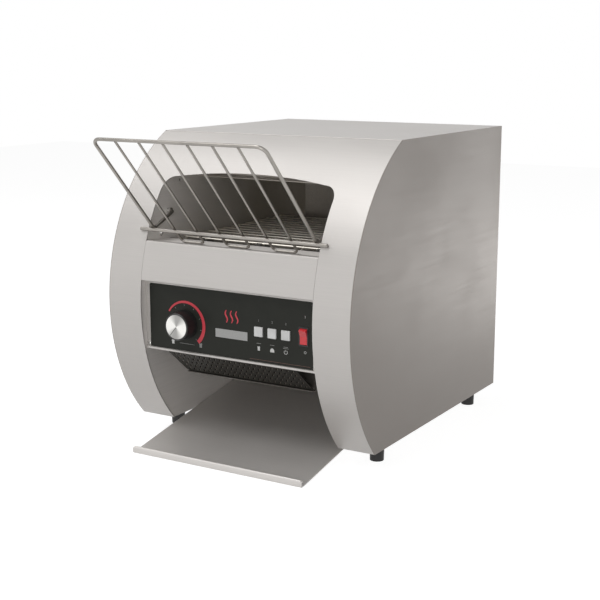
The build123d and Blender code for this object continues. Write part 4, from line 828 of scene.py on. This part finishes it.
# The surroundings are white where they are seen, and dimmer as a lamp.
world = bpy.data.worlds.new("studio")
bpy.context.scene.world = world
sky = Graph(world)
given = sky.nodes["Background"]
given.inputs["Color"].default_value = WHITE
given.inputs["Strength"].default_value = SURROUND_LIGHT
seen = sky.add("ShaderNodeBackground", Color=WHITE)
height = sky.axes("Generated")["Z"]
sky.link(sky.between(height, 1, ZENITH_SEEN, (HORIZON_TOP, 1)), seen.inputs["Strength"])
choice = sky.add("ShaderNodeMixShader")
sky.link(sky.seen_rays(), choice.inputs["Fac"])
sky.link(given.outputs[0], choice.inputs[1])
sky.link(seen.outputs[0], choice.inputs[2])
sky.link(choice.outputs[0], sky.nodes["World Output"].inputs["Surface"])

# Soft rectangular lamps: name, place, the point each is aimed at, size and watts.
LAMPS = (
    ("key_lamp", (-0.5, -1.3, 2.2), (0, -0.1, 0.25), (1.4, 1.0), 19),
    ("crown_lamp", (-1.0, -0.2, 2.3), (0, -0.15, 0.35), (0.8, 1.6), 9),
    ("side_lamp", (0.5, 0.8, 0.1), (0.18, 0.26, 0.12), (0.4, 0.2), 0.6),
    ("rear_side_lamp", (0.5, 1.4, 0.3), (0.18, 0.2, 0.2), (0.4, 0.4), 1.1),
    ("low_lamp", (-0.9, -1.9, 0.6), (0, -0.2, 0.25), (1.4, 0.7), 1.5),
    ("mouth_lamp", (0.6, -1.5, 0.4), (-0.1, 0, 0.3), (0.5, 0.3), 4),
)
for name, place, aim, size, watts in LAMPS:
    light = bpy.data.lights.new(name, "AREA")
    light.shape = "RECTANGLE"
    light.size, light.size_y = size
    light.energy = watts
    lamp = bpy.data.objects.new(name, light)
    lamp.location = place
    lamp.visible_camera = False
    lamp.rotation_euler = (Vector(aim) - Vector(place)).to_track_quat("-Z", "Y").to_euler()
    bpy.context.collection.objects.link(lamp)

# The camera stands where the photographer stood: a little above, to the right of the front.
CAMERA_PLACE = Vector((0.8519, -1.4240, 0.5277))
CAMERA_AZIMUTH = math.radians(30.841)
CAMERA_ELEVATION = math.radians(11.692)
SENSOR_WIDTH = 36
FOCAL_PIXELS, PHOTO_PIXELS = 1212.09, 600  # focal length and width of the photo, in its pixels
camera_data = bpy.data.cameras.new("camera")
camera_data.sensor_width = SENSOR_WIDTH
camera_data.lens = SENSOR_WIDTH * FOCAL_PIXELS / PHOTO_PIXELS
camera = bpy.data.objects.new("camera", camera_data)
level = math.cos(CAMERA_ELEVATION)
back_x, back_y = math.sin(CAMERA_AZIMUTH) * level, -math.cos(CAMERA_AZIMUTH) * level
back = Vector((back_x, back_y, math.sin(CAMERA_ELEVATION)))
camera.rotation_mode = "QUATERNION"
camera.location = CAMERA_PLACE
camera.rotation_quaternion = (-back).to_track_quat("-Z", "Y")
bpy.context.collection.objects.link(camera)
bpy.context.scene.camera = camera
bpy.context.scene.view_settings.view_transform = "Standard"
